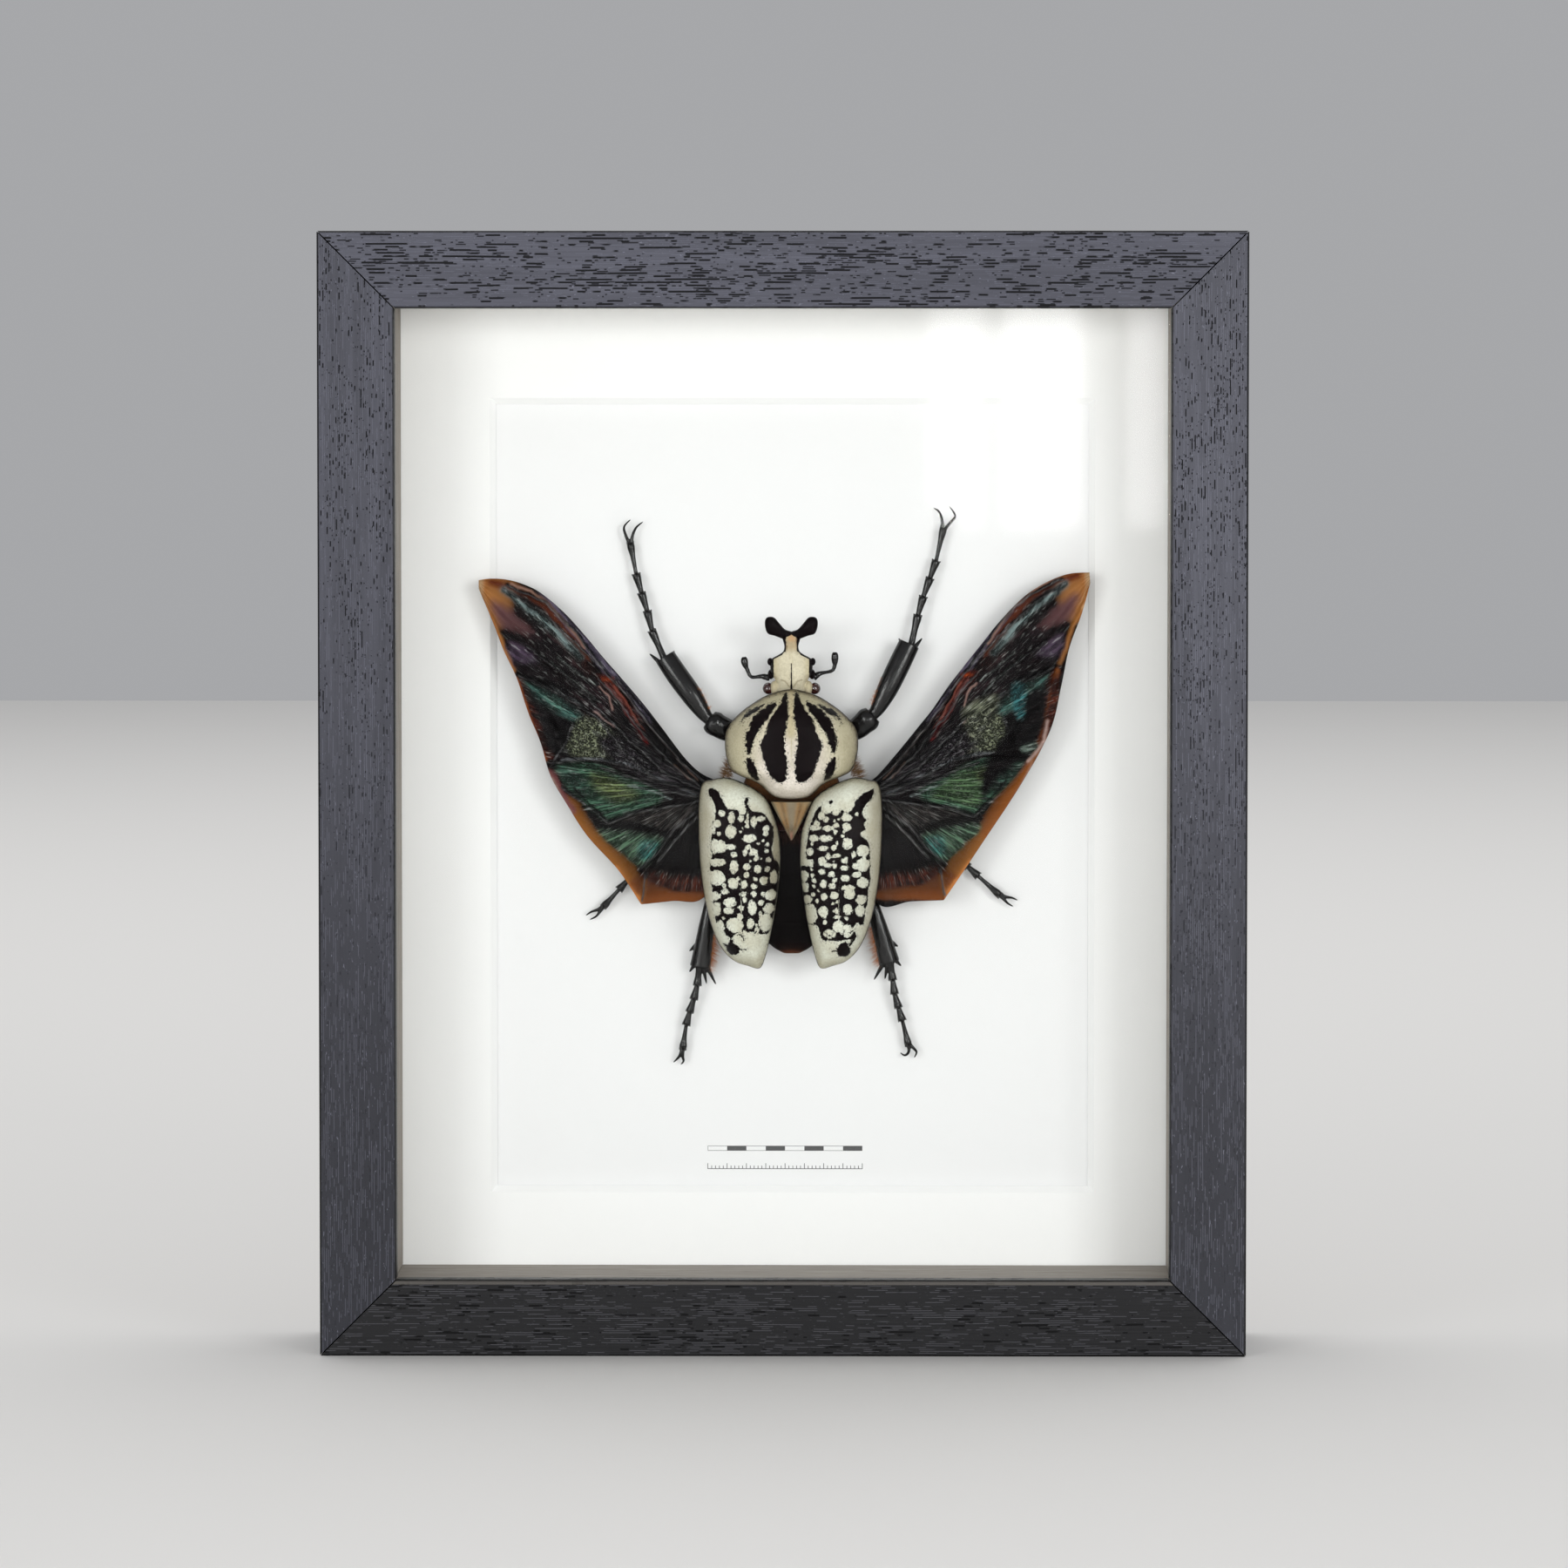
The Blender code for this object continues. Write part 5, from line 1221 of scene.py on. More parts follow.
# Each leg: upper part from the trunk to the tarsus as (u, v, h, half width), then the tarsus joints,
# two claws and the spurs at the shin's end, all as (u, v).
LEGS = {
    "leg_front_left": {
        "upper": [(-13.4, 12.6, 7.0, 2.0), (-16.5, 13.6, 7.6, 2.8), (-19.3, 15.0, 8.0, 2.8),
            (-21.2, 16.4, 8.0, 1.9), (-22.8, 18.2, 8.0, 1.8), (-26.0, 23.0, 7.8, 2.2),
            (-29.5, 27.8, 7.2, 2.3), (-32.6, 32.4, 6.6, 2.2)],
        "tarsus": [(-33.6, 33.6), (-36.0, 39.0), (-37.2, 44.0), (-38.7, 48.7), (-40.1, 53.6), (-41.6, 61.5)],
        "claws": [[(-42.8, 63.6), (-43.2, 65.8), (-41.6, 67.6)], [(-41.0, 63.6), (-40.0, 65.7),
            (-38.4, 67.0)]],
        "spurs": [[(-33.5, 30.6), (-36.6, 33.2)], [(-31.4, 31.6), (-30.2, 34.0)]],
    },
    "leg_front_right": {
        "upper": [(13.4, 12.6, 7.0, 2.0), (16.4, 13.8, 7.6, 2.7), (18.9, 15.8, 8.0, 2.8),
            (20.8, 17.6, 8.0, 1.9), (22.3, 19.6, 8.0, 1.8), (25.0, 25.0, 7.8, 2.2), (27.7, 30.6, 7.2, 2.3),
            (30.2, 35.8, 6.6, 2.2)],
        "tarsus": [(31.1, 37.2), (32.4, 43.0), (33.8, 47.8), (35.5, 52.5), (37.1, 57.0), (39.0, 65.5)],
        "claws": [[(38.6, 67.6), (37.8, 69.7), (36.5, 70.6)], [(40.8, 66.9), (42.0, 68.6), (40.6, 71.0)]],
        "spurs": [[(29.0, 34.4), (27.5, 37.2)], [(31.2, 34.4), (33.5, 37.2)]],
    },
    "leg_middle_left": {
        "upper": [(-15.9, -7.6, 5.0, 2.0), (-20.0, -6.6, 6.0, 2.6), (-24.5, -5.0, 6.8, 2.4),
            (-28.0, -4.0, 7.0, 1.8), (-30.0, -6.0, 7.0, 1.7), (-32.6, -10.6, 6.6, 1.9),
            (-34.8, -15.0, 6.0, 2.0)],
        "tarsus": [(-35.6, -16.6), (-37.8, -19.6), (-40.2, -22.8), (-42.4, -25.4), (-44.6, -27.8),
            (-48.6, -32.2)],
        "claws": [[(-50.2, -33.0), (-51.8, -33.6), (-53.2, -34.6)], [(-49.6, -33.6), (-50.6, -34.8),
            (-52.2, -35.7)]],
        "spurs": [[(-35.2, -14.6), (-37.4, -15.6)], [(-33.8, -14.8), (-34.2, -17.6)]],
    },
    "leg_middle_right": {
        "upper": [(15.9, -7.6, 5.0, 2.0), (20.0, -6.2, 6.0, 2.6), (24.5, -4.0, 6.8, 2.4),
            (28.2, -2.4, 7.0, 1.8), (30.6, -4.2, 7.0, 1.7), (34.0, -8.4, 6.6, 1.9), (36.8, -12.2, 6.0, 2.0)],
        "tarsus": [(37.8, -13.6), (40.4, -16.4), (42.9, -19.2), (45.4, -21.8), (48.0, -24.2), (53.6, -29.2)],
        "claws": [[(55.2, -29.6), (56.8, -29.9), (58.2, -30.6)], [(54.8, -30.4), (55.8, -31.4),
            (57.1, -32.2)]],
        "spurs": [[(37.0, -11.6), (39.4, -11.8)], [(35.8, -12.4), (36.0, -15.0)]],
    },
    "leg_hind_left": {
        "upper": [(-18.2, -18.0, 5.0, 1.6), (-19.2, -22.0, 5.8, 2.0), (-20.2, -26.0, 6.0, 1.7),
            (-21.0, -30.0, 6.0, 1.4), (-21.9, -36.5, 5.8, 1.6), (-22.8, -42.5, 5.4, 1.9),
            (-23.6, -47.6, 5.0, 2.2)],
        "tarsus": [(-24.0, -48.8), (-24.4, -52.4), (-25.3, -56.0), (-26.4, -59.4), (-27.3, -62.8),
            (-28.2, -69.0)],
        "claws": [[(-29.0, -70.8), (-29.8, -71.8), (-30.6, -72.6)], [(-28.2, -71.0), (-28.0, -72.2),
            (-28.7, -73.2)]],
        "spurs": [[(-22.4, -46.6), (-19.6, -52.2)], [(-23.0, -47.0), (-22.0, -52.0)], [(-24.6, -42.0),
            (-26.4, -43.6)], [(-24.8, -46.6), (-26.4, -49.0)]],
    },
    "leg_hind_right": {
        "upper": [(18.2, -18.0, 5.0, 1.6), (18.9, -22.0, 5.8, 2.0), (19.8, -26.0, 6.0, 1.7),
            (20.8, -30.0, 6.0, 1.4), (22.2, -36.0, 5.8, 1.6), (23.8, -41.6, 5.4, 1.9),
            (25.1, -46.4, 5.0, 2.2)],
        "tarsus": [(25.6, -47.6), (26.0, -51.0), (26.5, -54.6), (27.5, -58.2), (28.5, -61.6), (30.1, -68.0)],
        "claws": [[(30.2, -69.6), (29.2, -70.7), (28.0, -70.1)], [(31.4, -68.8), (32.2, -69.9),
            (31.6, -71.4)]],
        "spurs": [[(24.0, -46.0), (21.2, -51.0)], [(24.8, -46.2), (24.0, -50.8)], [(25.4, -41.0),
            (27.4, -42.4)], [(26.2, -45.4), (28.2, -47.4)]],
    },
}
# Where the thigh ends and the shin starts in the upper part
KNEE = 3
TARSUS_START_HEIGHT = 5.0
TARSUS_END_HEIGHT = 3.0
CLAW_TIP_HEIGHT = 1.6
LEG_CELL = 0.16
JOINT_SHAPE = ((-0.04, 0.6), (0.16, 0.68), (0.55, 0.9), (0.82, 1.1), (0.96, 1.08), (1.03, 0.66))
FIRST_JOINT_SHAPE = ((-0.4, 1.0), (-0.1, 0.86), (0.4, 0.84), (0.82, 1.14), (0.96, 1.12), (1.03, 0.62))
FOOT_SHAPE = ((-0.03, 0.5), (0.25, 0.54), (0.6, 0.7), (0.86, 1.02), (0.96, 0.95), (1.0, 0.6))


def leg_parts(leg):
    """The closed bodies of one leg, overlapping so that they can grow together."""
    points = np.array(leg["upper"])
    thigh = smooth_open(points[:KNEE + 1], 44)
    bulge = 1.04 + 0.3 * step_up(0.55, 0.9, np.linspace(0, 1, 44))
    upper = smooth_open(points[KNEE - 1:], 60)[8:]
    swell = 0.78 + 0.42 * step_up(0.02, 0.5, np.linspace(0, 1, 52))
    parts = [
        tube(thigh[:, :3], thigh[:, 3] * bulge, 0.8, 24),
        tube(upper[:, :3], upper[:, 3] * swell + 0.1, 0.72, 24),
    ]
    foot_start = min(TARSUS_START_HEIGHT, upper[-1, 2] - 0.4)
    joints = leg["tarsus"]
    pairs = list(zip(joints, joints[1:]))
    for number, (start, end) in enumerate(pairs):
        start, end = np.array(start), np.array(end)
        run = end - start
        aside = np.array((-run[1], run[0])) / np.linalg.norm(run)
        path, radii = [], []
        shape = FIRST_JOINT_SHAPE if number == 0 else JOINT_SHAPE if number < 4 else FOOT_SHAPE
        for t, radius in shape:
            level = (number + t) / len(pairs)
            h = foot_start + (TARSUS_END_HEIGHT - foot_start) * level
            path.append((*(start + run * t), h))
            radii.append(radius)
        parts.append(tube(smooth_open(path, 20), spread(radii, 20), 0.8, 16))
        level = path[-2][2]
        for side in (-1, 1):
            reach = 1.0 if number < 4 else 0.8
            root = (*(start + run * 0.82 + side * aside * 0.55 * reach), level)
            tip = (*(start + run * 1.06 + side * aside * 1.12 * reach), level - 0.2)
            parts.append(tube(smooth_open([root, tip], 6), spread((0.42, 0.16), 6), 0.9, 10))
    back = np.array(joints[-2]) * 0.1 + np.array(joints[-1]) * 0.9
    for claw in leg["claws"]:
        route = [(*back, TARSUS_END_HEIGHT), (*claw[0], TARSUS_END_HEIGHT), (*claw[1], 2.5)]
        path = smooth_open(route + [(*claw[2], CLAW_TIP_HEIGHT)], 24)
        parts.append(tube(path, spread((0.5, 0.44, 0.36, 0.27, 0.15), 24), 1.0, 12))
    for start, tip in leg["spurs"]:
        h = upper[-1, 2]
        route = [(*start, h), (*(np.array(start) * 0.5 + np.array(tip) * 0.5), h - 0.2), (*tip, h - 0.6)]
        parts.append(tube(smooth_open(route, 12), spread((0.72, 0.5, 0.16), 12), 0.9, 12))
    return parts


def make_legs():
    """Six legs, each grown in one piece from thigh to claws."""
    material = black_shell("leg shell", 0.8)
    for name, leg in LEGS.items():
        mesh = blend_parts(make_mesh(name, leg_parts(leg)), LEG_CELL)
        dark_tint(mesh, tone(11, 9, 10))
        add_piece(f"{name}_shell", mesh, material, "black_shell", name)


# Hairs


def fringe_tree():
    """Geometry Nodes: a thin tapering hair on each point, laid along the point's "aim"."""
    tree = bpy.data.node_groups.new("fringe", "GeometryNodeTree")
    inputs = {
        "Roots": "NodeSocketGeometry",
        "Length": "NodeSocketFloat",
        "Thickness": "NodeSocketFloat",
        "Spread": "NodeSocketFloat",
        "Seed": "NodeSocketInt",
        "Finish": "NodeSocketMaterial",
    }
    names = {}
    for label, kind in inputs.items():
        names[label] = tree.interface.new_socket(label, in_out="INPUT", socket_type=kind).identifier
    tree.interface.new_socket("Hairs", in_out="OUTPUT", socket_type="NodeSocketGeometry")

    def add(kind, values, output=0, **settings):
        made = tree.nodes.new(kind)
        for name, value in settings.items():
            setattr(made, name, value)
        for key, value in values.items():
            if isinstance(value, bpy.types.NodeSocket):
                tree.links.new(value, made.inputs[key])
            else:
                made.inputs[key].default_value = value
        return made.outputs[output] if made.outputs else made

    given = tree.nodes.new("NodeGroupInput").outputs
    shape = {"Vertices": 5, "Radius Bottom": given["Thickness"], "Depth": given["Length"]}
    hair = add("GeometryNodeMeshCone", shape, "Mesh")
    aim = add("GeometryNodeInputNamedAttribute", {"Name": "aim"}, "Attribute", data_type="FLOAT_VECTOR")
    box = {0: (-1.0, -1.0, -1.0), 1: (1.0, 1.0, 1.0), "Seed": given["Seed"]}
    scatter = add("FunctionNodeRandomValue", box, 0, data_type="FLOAT_VECTOR")
    lean = add("ShaderNodeVectorMath", {0: scatter, "Scale": given["Spread"]}, operation="SCALE")
    way = add("ShaderNodeVectorMath", {0: aim, 1: lean}, operation="ADD")
    turn = add("FunctionNodeAlignRotationToVector", {"Vector": way}, axis="Z")
    size = add("FunctionNodeRandomValue", {2: 0.5, 3: 1.15, "Seed": given["Seed"]}, 1, data_type="FLOAT")
    stand = {"Points": given["Roots"], "Instance": hair, "Rotation": turn, "Scale": size}
    placed = add("GeometryNodeInstanceOnPoints", stand)
    real = add("GeometryNodeRealizeInstances", {"Geometry": placed})
    done = add("GeometryNodeSetMaterial", {"Geometry": real, "Material": given["Finish"]})
    add("NodeGroupOutput", {"Hairs": done})
    return tree, names


def hair_finish(name, colour):
    hair = Finish(name)
    streak = hair.noise(hair.place(), 1.4, 2.0)
    return hair.surface(hair.mix(streak, shaded(colour, 0.5), colour), 0.5, specular_ior_level=0.3)


HAIR_RADIUS = 0.055
# Each fringe: finish, count, root line from and to (u, v, h), half width of the root band, aim,
# length, spread and seed
FRINGES = {
    "hairs_shin_left": ("orange", 420, (-21.3, -38.5, 5.2), (-22.2, -47.2, 4.8), 0.7, (0.85, -0.55, 0.1),
        3.2, 0.3, 3),
    "hairs_shin_right": ("orange", 460, (22.0, -36.5, 5.2), (24.0, -46.2, 4.8), 0.7, (-0.85, -0.5, 0.1),
        3.5, 0.3, 4),
    "hairs_knee_left": ("orange", 150, (-21.6, 18.6, 8.4), (-25.0, 24.2, 8.2), 0.5, (0.8, 0.55, 0.2),
        1.5, 0.35, 5),
    "hairs_knee_right": ("orange", 150, (21.0, 20.4, 8.4), (24.0, 26.2, 8.2), 0.5, (-0.85, 0.5, 0.2),
        1.5, 0.35, 6),
    "hairs_shoulder_left": ("brown", 420, (-14.6, 6.6, 12.4), (-16.6, 1.2, 12.8), 1.3, (-0.8, 0.5, 0.2),
        2.2, 0.45, 7),
    "hairs_shoulder_right": ("brown", 420, (14.6, 6.6, 12.4), (17.0, 1.2, 12.8), 1.3, (0.8, 0.5, 0.2),
        2.2, 0.45, 8),
    "hairs_waist": ("dark", 320, (-2.8, -12.6, 12.2), (2.8, -12.6, 12.2), 1.9, (0.0, -0.8, 0.5),
        2.2, 0.4, 9),
}


def make_hairs():
    """The orange fringes of the legs, and the brown hairs around the wing roots."""
    finishes = {
        "orange": hair_finish("orange hair", tone(204, 122, 58)),
        "brown": hair_finish("brown hair", tone(132, 96, 60)),
        "dark": hair_finish("dark hair", tone(66, 36, 30)),
    }
    tree, names = fringe_tree()
    for name, (finish, count, start, end, band, aim, length, scatter, seed) in FRINGES.items():
        draw = np.random.RandomState(seed)
        share = draw.rand(count, 1)
        roots = np.array(start) * (1 - share) + np.array(end) * share + draw.uniform(-band, band, (count, 3))
        carrier_mesh = bpy.data.meshes.new(name)
        carrier_mesh.from_pydata(to_world(roots).tolist(), [], [])
        vector_at(carrier_mesh, "aim", np.tile((aim[0], -aim[2], aim[1]), (count, 1)))
        carrier = bpy.data.objects.new("carrier", carrier_mesh)
        bpy.context.scene.collection.objects.link(carrier)
        grower = carrier.modifiers.new("fringe", "NODES")
        grower.node_group = tree
        grower[names["Length"]] = length * MM
        grower[names["Thickness"]] = HAIR_RADIUS * MM
        grower[names["Spread"]] = scatter
        grower[names["Seed"]] = seed
        grower[names["Finish"]] = finishes[finish]
        graph = bpy.context.evaluated_depsgraph_get()
        grown = bpy.data.meshes.new_from_object(carrier.evaluated_get(graph))
        bpy.data.objects.remove(carrier, do_unlink=True)
        add_piece(name, grown, finishes[finish], "brown_shell")


# Wings

# Each hind wing: pairs of points across it, on its front edge and on its rear edge, root to tip.
WINGS = {
    "left": [
        ((-13.0, -2.0), (-13.0, -8.0)), ((-18.0, 0.4), (-17.5, -20.0)), ((-23.0, 2.6), (-23.0, -29.5)),
        ((-27.0, 6.2), (-30.5, -30.1)), ((-31.2, 11.6), (-37.7, -30.9)), ((-32.0, 12.7), (-38.7, -30.8)),
        ((-32.9, 13.9), (-39.4, -29.9)), ((-38.0, 20.5), (-44.5, -22.3)),
        ((-44.0, 27.5), (-52.5, -13.5)), ((-48.5, 32.6), (-58.0, -5.0)), ((-53.0, 38.0), (-62.0, 2.0)),
        ((-58.5, 44.0), (-64.5, 10.5)), ((-64.5, 49.0), (-67.6, 18.0)), ((-69.0, 51.2), (-70.6, 27.0)),
        ((-73.0, 52.3), (-73.9, 34.0)), ((-77.0, 52.6), (-76.6, 41.0)), ((-80.4, 52.2), (-80.4, 50.0)),
    ],
    "right": [
        ((13.0, -2.0), (13.0, -8.0)), ((17.0, -0.8), (17.5, -20.0)), ((21.5, 1.7), (22.5, -31.0)),
        ((26.5, 7.3), (30.5, -30.2)), ((30.8, 12.5), (38.1, -29.9)), ((31.6, 13.5), (39.1, -29.8)),
        ((32.3, 14.4), (39.8, -28.9)), ((36.0, 19.0), (44.5, -22.0)),
        ((40.0, 24.8), (50.5, -13.0)), ((44.0, 30.0), (55.0, -6.3)), ((48.5, 35.6), (59.5, 0.8)),
        ((53.3, 41.6), (64.0, 8.7)), ((59.0, 47.5), (67.2, 16.0)), ((63.5, 50.7), (69.4, 26.0)),
        ((68.0, 52.9), (71.3, 35.0)), ((72.0, 54.0), (74.4, 43.5)), ((76.4, 54.2), (76.6, 51.4)),
    ],
}
WING_ROOT = (17.0, -3.0)
RIGHT_WING_TURN = math.radians(2.9)
RIGHT_WING_SCALE = 0.981
FAN_CENTRE = (-21.5, -1.0)
WING_FILM = 0.3
WING_FOLDS = 3.6
FOLD_SLANT = 0.45
WING_ROOT_HEIGHT = 13.2
WING_DROOP = 4.4
AMBER_BAND = 2.8
WING_ROWS, WING_COLUMNS = 330, 140
CRUMPLED = [(-55, 17), (-45, 15), (-33, 2), (-47, 6), (-58, 8)]

# The left wing's raised veins: height, half width, points from the root outwards
VEINS = [
    (0.55, 0.55, [(-20, -1), (-28, 5.5), (-36, 14.5), (-43, 23.5), (-49, 30.5), (-55.5, 39.5), (-63, 46.5),
        (-73, 51)]),
    (0.4, 0.4, [(-22, -1.5), (-32, 6.5), (-40, 15.5), (-46, 23.5), (-49.5, 27)]),
    (0.4, 0.4, [(-22, -2), (-33, 3.5), (-42.5, 12), (-50.5, 20.5), (-58, 28), (-68, 35)]),
    (0.45, 0.4, [(-22, -2.5), (-34, 0.6), (-43, 8.5), (-50, 17), (-58, 22.5), (-70, 28)]),
    (0.5, 0.45, [(-22, -3), (-33, 0.5), (-42, 4.8), (-50, 6.2), (-59.5, 5.6), (-63.5, 5.2)]),
    (0.35, 0.4, [(-22, -3.5), (-33, -1.8), (-41, 1.6), (-49, 4.2)]),
    (0.35, 0.4, [(-22, -4), (-30, -5.6), (-40, -7.2), (-47, -10), (-53.5, -5), (-59, -1)]),
    (0.4, 0.5, [(-23, -6), (-30, -11.5), (-34.5, -18), (-39, -22)]),
    (0.3, 0.4, [(-56, 15.5), (-58, 10.5), (-61, 6)]),
    (0.3, 0.35, [(-50.5, 31.5), (-56, 37), (-64, 44), (-74, 50)]),
    (0.35, 0.5, [(-37.5, -23), (-38.3, -30)]),
]
# Colours laid on the left wing one after another: areas (softness, outline), then lines (half width, points)
WING_LAYERS = [
    ("area", (44, 30, 34), 2.0, [(-62, 40), (-52, 30), (-46, 20), (-52, 14), (-66, 20), (-72, 34)]),
    ("area", (168, 112, 62), 1.6, [(-82, 53.5), (-71, 52), (-71.5, 47), (-74, 41), (-77, 40), (-82, 49)]),
    ("area", (224, 188, 146), 0.8, [(-82, 54), (-79.3, 53), (-79.4, 48.2), (-77.6, 43.5), (-79.5, 43),
        (-82, 49)]),
    ("line", (104, 46, 22), 1.3, [(-77, 51.6), (-69, 49.2), (-62.5, 44.6), (-57, 38.6), (-52.5, 32.5)]),
    ("line", (62, 20, 14), 1.4, [(-71, 47.8), (-64.8, 43.6), (-59.5, 38.2), (-54.5, 32), (-51.5, 29)]),
    ("area", (104, 94, 116), 0.5, [(-65, 49.6), (-58.3, 44), (-53, 38), (-47.5, 31.6), (-42, 25),
        (-36, 17.5), (-37, 15.5), (-42, 21), (-48, 28), (-53.5, 35), (-58.8, 41.6), (-63, 46.4)]),
    # A painted highlight: a pale pink line near the front edge.
    ("line", (196, 150, 130), 0.38, [(-72, 51.2), (-67, 49.3), (-62, 45.8), (-57.6, 41.3), (-53, 35)]),
    ("line", (124, 142, 142), 0.95, [(-73.8, 49.6), (-67.6, 45), (-60.7, 39.3), (-54.4, 32.4)]),
    ("area", (112, 76, 78), 1.8, [(-77, 46.5), (-73, 45), (-67, 40), (-68.5, 38.5), (-73, 39.8), (-76, 42)]),
    ("line", (160, 104, 54), 0.7, [(-80, 48), (-77, 41.8), (-74.8, 37), (-73.6, 33.4), (-71.5, 29)]),
    ("area", (86, 70, 90), 1.2, [(-73, 36), (-69, 35), (-65, 31.5), (-69, 30.3), (-71.8, 31.5)]),
    ("area", (74, 112, 104), 1.4, [(-68.5, 26), (-63, 24), (-57.5, 20.4), (-54, 16.8), (-58, 16),
        (-63, 19.8), (-67, 23)]),
    ("area", (96, 138, 124), 1.0, [(-63.5, 22.8), (-60, 21.3), (-58.5, 19.3), (-61, 19.6)]),
    ("area", (74, 26, 14), 1.2, [(-71, 27.5), (-68, 24), (-64.6, 14), (-61.2, 7.2), (-63.5, 4.8),
        (-66.8, 12), (-70, 22)]),
    ("line", (156, 88, 38), 0.6, [(-70.9, 27), (-69, 21), (-66.1, 12.5), (-63.5, 5.5)]),
    ("area", (14, 10, 12), 1.2, [(-64, 18), (-56, 15.8), (-59, 8), (-62, 9)]),
    ("area", (128, 134, 108), 1.2, [(-54.5, 16.6), (-48.5, 15.4), (-40, 8.2), (-34, 2.4), (-46, 6.6),
        (-57, 7.6), (-56.2, 12)]),
    ("area", (74, 112, 90), 1.2, [(-60.3, 4.4), (-51, 5), (-42, 1.4), (-33, -3), (-40, -7.4), (-47, -9.4),
        (-54, -4.6), (-58, 0)]),
    ("area", (132, 148, 96), 1.8, [(-51, 2.6), (-45, 0.8), (-39.5, -3), (-45, -4.4), (-50.5, -1)]),
    ("area", (74, 106, 92), 1.3, [(-60, 4), (-55.5, 3.4), (-53, -2), (-57, -1)]),
    ("area", (60, 54, 60), 1.3, [(-50, 11), (-44, 4.6), (-33, -0.8), (-25, -3), (-24.5, -0.5), (-33, 5.5),
        (-43, 12.5)]),
    ("area", (68, 62, 60), 1.1, [(-46, -9.8), (-36, -6.8), (-24.5, -5.6), (-24.5, -9), (-31, -11.4)]),
    ("area", (12, 9, 9), 1.0, [(-49, -9.8), (-40, -9.6), (-32, -12.4), (-31, -14.4), (-40, -12.6),
        (-48, -12)]),
    ("area", (92, 124, 98), 1.1, [(-50, -12.4), (-42, -12.8), (-33, -14.4), (-34.2, -19.4), (-39.5, -20.8),
        (-45.5, -16.4)]),
    ("area", (74, 138, 130), 1.2, [(-38.5, -15), (-33.8, -15.4), (-35.8, -19.2), (-39, -19.2)]),
    ("area", (12, 8, 8), 1.0, [(-34, -16), (-28, -10.5), (-23, -7), (-21, -26), (-34, -24.8), (-36.5, -21)]),
    ("area", (136, 84, 34), 0.9, [(-58.5, -4), (-53, -13.8), (-45, -23), (-40.5, -28.5), (-39.2, -22.6),
        (-44.6, -17.4), (-50, -12.2), (-55.6, -4.2)]),
    ("line", (112, 66, 66), 0.9, [(-62, 3), (-59, -2.4), (-56, -7)]),
    ("line", (200, 172, 158), 0.4, [(-62.9, 3.6), (-60.3, -2), (-57, -7.3)]),
    ("area", (116, 62, 24), 1.0, [(-42, -26), (-38.8, -31.5), (-30, -31), (-21, -30.5), (-21, -28),
        (-32, -27), (-38, -23.6)]),
    ("area", (80, 32, 15), 1.3, [(-38, -25), (-30, -26.8), (-21, -27.6), (-21, -24.6), (-32, -23.6),
        (-37, -22.4)]),
    ("line", (214, 138, 76), 0.5, [(-38.6, -30.6), (-38, -27.4), (-37.7, -25)]),
    ("line", (190, 120, 60), 0.7, [(-39, -30), (-42.5, -26), (-45.5, -22)]),
    ("area", (88, 32, 24), 0.7, [(-50.5, 28), (-46.4, 27.8), (-42.8, 23.4), (-39, 17.4), (-37.6, 13),
        (-40, 16), (-44.5, 21), (-48, 24.6)]),
    ("line", (190, 78, 36), 0.5, [(-48.4, 26.9), (-46, 27)]),
    # Painted highlights: pale pink lines on the red joint.
    ("line", (190, 150, 140), 0.22, [(-49.5, 24.8), (-46.8, 22.2), (-46, 19)]),
    ("line", (190, 120, 116), 0.25, [(-47.6, 25.6), (-44, 21.4), (-42.6, 18.2)]),
    ("line", (190, 104, 88), 0.28, [(-45.6, 25.2), (-42, 20.2), (-39.4, 16)]),
    ("line", (120, 26, 26), 0.5, [(-42.6, 18.8), (-39.4, 14), (-37, 10.6)]),
    ("line", (200, 166, 160), 0.35, [(-50.6, 18.3), (-48, 16), (-45.8, 14.6)]),
    ("line", (150, 156, 152), 0.22, [(-60, 32.6), (-55, 28.4), (-50.5, 25.4)]),
    ("line", (140, 146, 142), 0.2, [(-62, 31.4), (-57, 27.4), (-53.5, 24.6), (-50.6, 21.5)]),
    ("line", (150, 156, 156), 0.22, [(-62, 25), (-56, 21.5), (-51.5, 18.2)]),
    # A painted highlight along a vein.
    ("line", (170, 176, 182), 0.26, [(-59, 5.9), (-50, 6.5), (-42.5, 5.2), (-33.5, 1), (-24.5, -2.8)]),
    ("line", (150, 160, 160), 0.22, [(-42, -0.6), (-36, -1.8), (-31, -4)]),
    ("line", (118, 116, 116), 0.25, [(-34.4, -20), (-30, -14.6), (-24.2, -8.4)]),
    ("line", (10, 7, 8), 0.5, [(-70, 28.2), (-62, 25.8), (-56.5, 23), (-52, 18.6), (-46, 14), (-36, 5),
        (-26, -1)]),
    ("line", (10, 7, 8), 0.4, [(-56.8, 15), (-58.5, 9.8), (-60.6, 7)]),
    ("line", (10, 8, 9), 0.35, [(-56, -1), (-52.4, -4.8), (-47.4, -9.4)]),
    ("line", (10, 8, 9), 0.4, [(-46.6, -9.6), (-38, -6.4), (-28, -5)]),
    ("line", (9, 7, 8), 0.35, [(-22, -1.6), (-31, 7), (-39, 16), (-44, 24)]),
    ("line", (9, 7, 8), 0.35, [(-22, -1), (-28.5, 7), (-36, 16.6), (-45, 27.6)]),
    ("line", (110, 84, 74), 0.22, [(-24, 1), (-31, 8.4), (-38, 16.6)]),
    ("line", (176, 120, 84), 0.2, [(-26, 1.4), (-30, 5)]),
]
